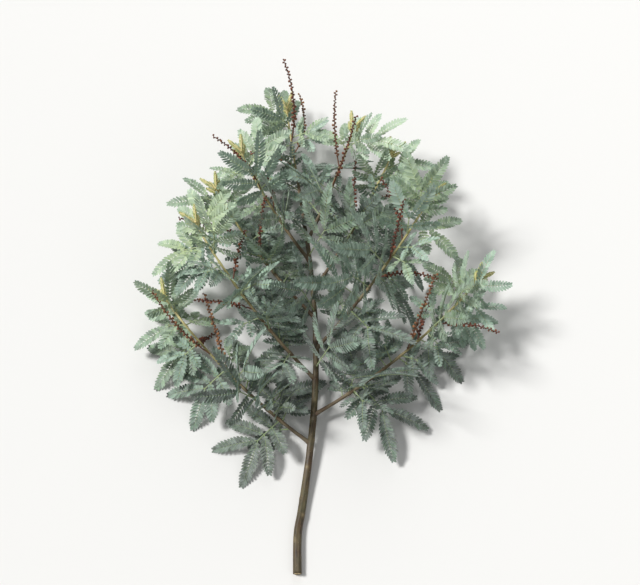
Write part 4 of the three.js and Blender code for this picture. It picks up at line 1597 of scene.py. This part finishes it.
# The cut end is a shallow dish of wood inside the rim of bark
def stemPiece(trunk):
    sides = bark["sides"]
    centres = smoothLine([rib.at for rib in trunk], bark["rings"])
    centres[:, 2] = np.maximum(centres[:, 2], centres[0, 2])
    ahead = unitRows(np.gradient(centres, axis=0))
    ahead[0] = ahead[1]
    run = np.concatenate([[0], np.cumsum(np.linalg.norm(np.diff(centres, axis=0), axis=1))])
    away, scar = barkSurface(run, turnsRound(sides))
    rings = ringsRound(centres, ahead, np.array(up), away)
    rings[..., 2] = np.maximum(rings[..., 2], bark["floor"])
    fields = grainFields(run * bark["grainPitch"], sides)
    fields["scar"] = scar * bark["scarTint"]
    middle = rings[0].mean(axis=0)
    fromMiddle = rings[0] - middle
    dish = [middle + fromMiddle * share + np.array([0, inset, 0]) for share, inset in bark["cutRings"]]
    rings = np.concatenate([np.array(dish), rings])
    for name, values in fields.items():
        fields[name] = np.concatenate([np.zeros(len(dish) * sides), values.reshape(-1)])
    shares = [share for share, inset in bark["cutRings"]] + [1.0] * bark["rings"]
    fields["ring"] = np.repeat(shares, sides)
    thing = loft("main_stem_bark", rings, fields, [barkMaterial, woodMaterial])
    isWood = np.zeros(len(thing.data.polygons), dtype=int)
    isWood[:bark["woodBands"] * sides] = 1
    isWood[-2 * sides::2] = 1  # the fan in the middle of the cut
    thing.data.polygons.foreach_set("material_index", isWood)
    finished(thing, "main_stem")


stemPiece(trunk)
print("twigs and stem dressed")

for collection in (leafletVariants, budVariants):
    for variant in list(collection.objects):
        bpy.data.objects.remove(variant)
    bpy.data.collections.remove(collection)


# Floor, light and camera

studio = {
    "floorTint": "#e2e1de", "floorHalf": 14.0, "floorRoughness": 0.85,
    "azimuth": 0.0, "elevation": 66.0, "lens": 70.0, "sensor": 36.0, "picture": (640, 585),
    "fill": 0.93,  # share of the picture's height that the sprig takes
    "rise": -0.003,  # how far above the sprig's middle the camera aims
    "sky": 0.3, "skyTint": (0.95, 0.97, 1.0, 1.0),
}

# Each lamp: kind, place from the sprig's middle, power, and size in metres or, for a sun, degrees
lamps = {
    "key": ("SUN", (-1.5, 0.4, 1.9), 3.4, 14.0),
    "fill": ("AREA", (1.6, -1.2, 1.5), 6.0, 1.5),
    "back": ("AREA", (0.3, 1.8, 1.2), 8.0, 1.2),
}


def makeFloor():
    size = studio["floorHalf"]
    corners = [(-size, -size, 0), (size, -size, 0), (size, size, 0), (-size, size, 0)]
    floor = meshObject("floor", corners, [(0, 1, 2, 3)])
    material, wire, shader = newMaterial("pale floor", roughness=studio["floorRoughness"])
    wire.fill(shader.inputs["Base Color"], studio["floorTint"])
    floor.data.materials.append(material)


def aim(thing, target):
    thing.rotation_euler = (target - thing.location).to_track_quat("-Z", "Y").to_euler()


def makeLights(centre):
    for name, (kind, place, power, size) in lamps.items():
        light = bpy.data.lights.new(name, kind)
        light.energy = power
        if kind == "SUN":
            light.angle = radians(size)
        else:
            light.size = size
        lamp = placed(name, light)
        lamp.location = centre + Vector(place)
        aim(lamp, centre)
    world = bpy.data.worlds.new("pale room")
    world.use_nodes = True
    sky = world.node_tree.nodes["Background"].inputs
    sky["Color"].default_value = studio["skyTint"]
    sky["Strength"].default_value = studio["sky"]
    bpy.context.scene.world = world
    bpy.context.scene.view_settings.view_transform = "Standard"


# The camera stands as far off as the sprig needs to fill its share of the picture
def makeCamera(centre, size):
    camera = placed("camera", bpy.data.cameras.new("camera"))
    camera.data.lens = studio["lens"]
    bpy.context.scene.camera = camera
    azimuth = radians(studio["azimuth"])
    elevation = radians(studio["elevation"])
    back = Vector((sin(azimuth) * cos(elevation), -cos(azimuth) * cos(elevation), sin(elevation)))
    width, height = studio["picture"]
    halfView = studio["sensor"] / studio["lens"] * height / width / 2
    tall = size.y * sin(elevation) + size.z * cos(elevation)
    target = centre + Vector((0, 0, studio["rise"]))
    camera.location = target + back * (tall / 2 / studio["fill"] / halfView)
    aim(camera, target)


low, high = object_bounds()
makeFloor()
makeLights((low + high) / 2)
makeCamera((low + high) / 2, high - low)
print("floor, light and camera made")
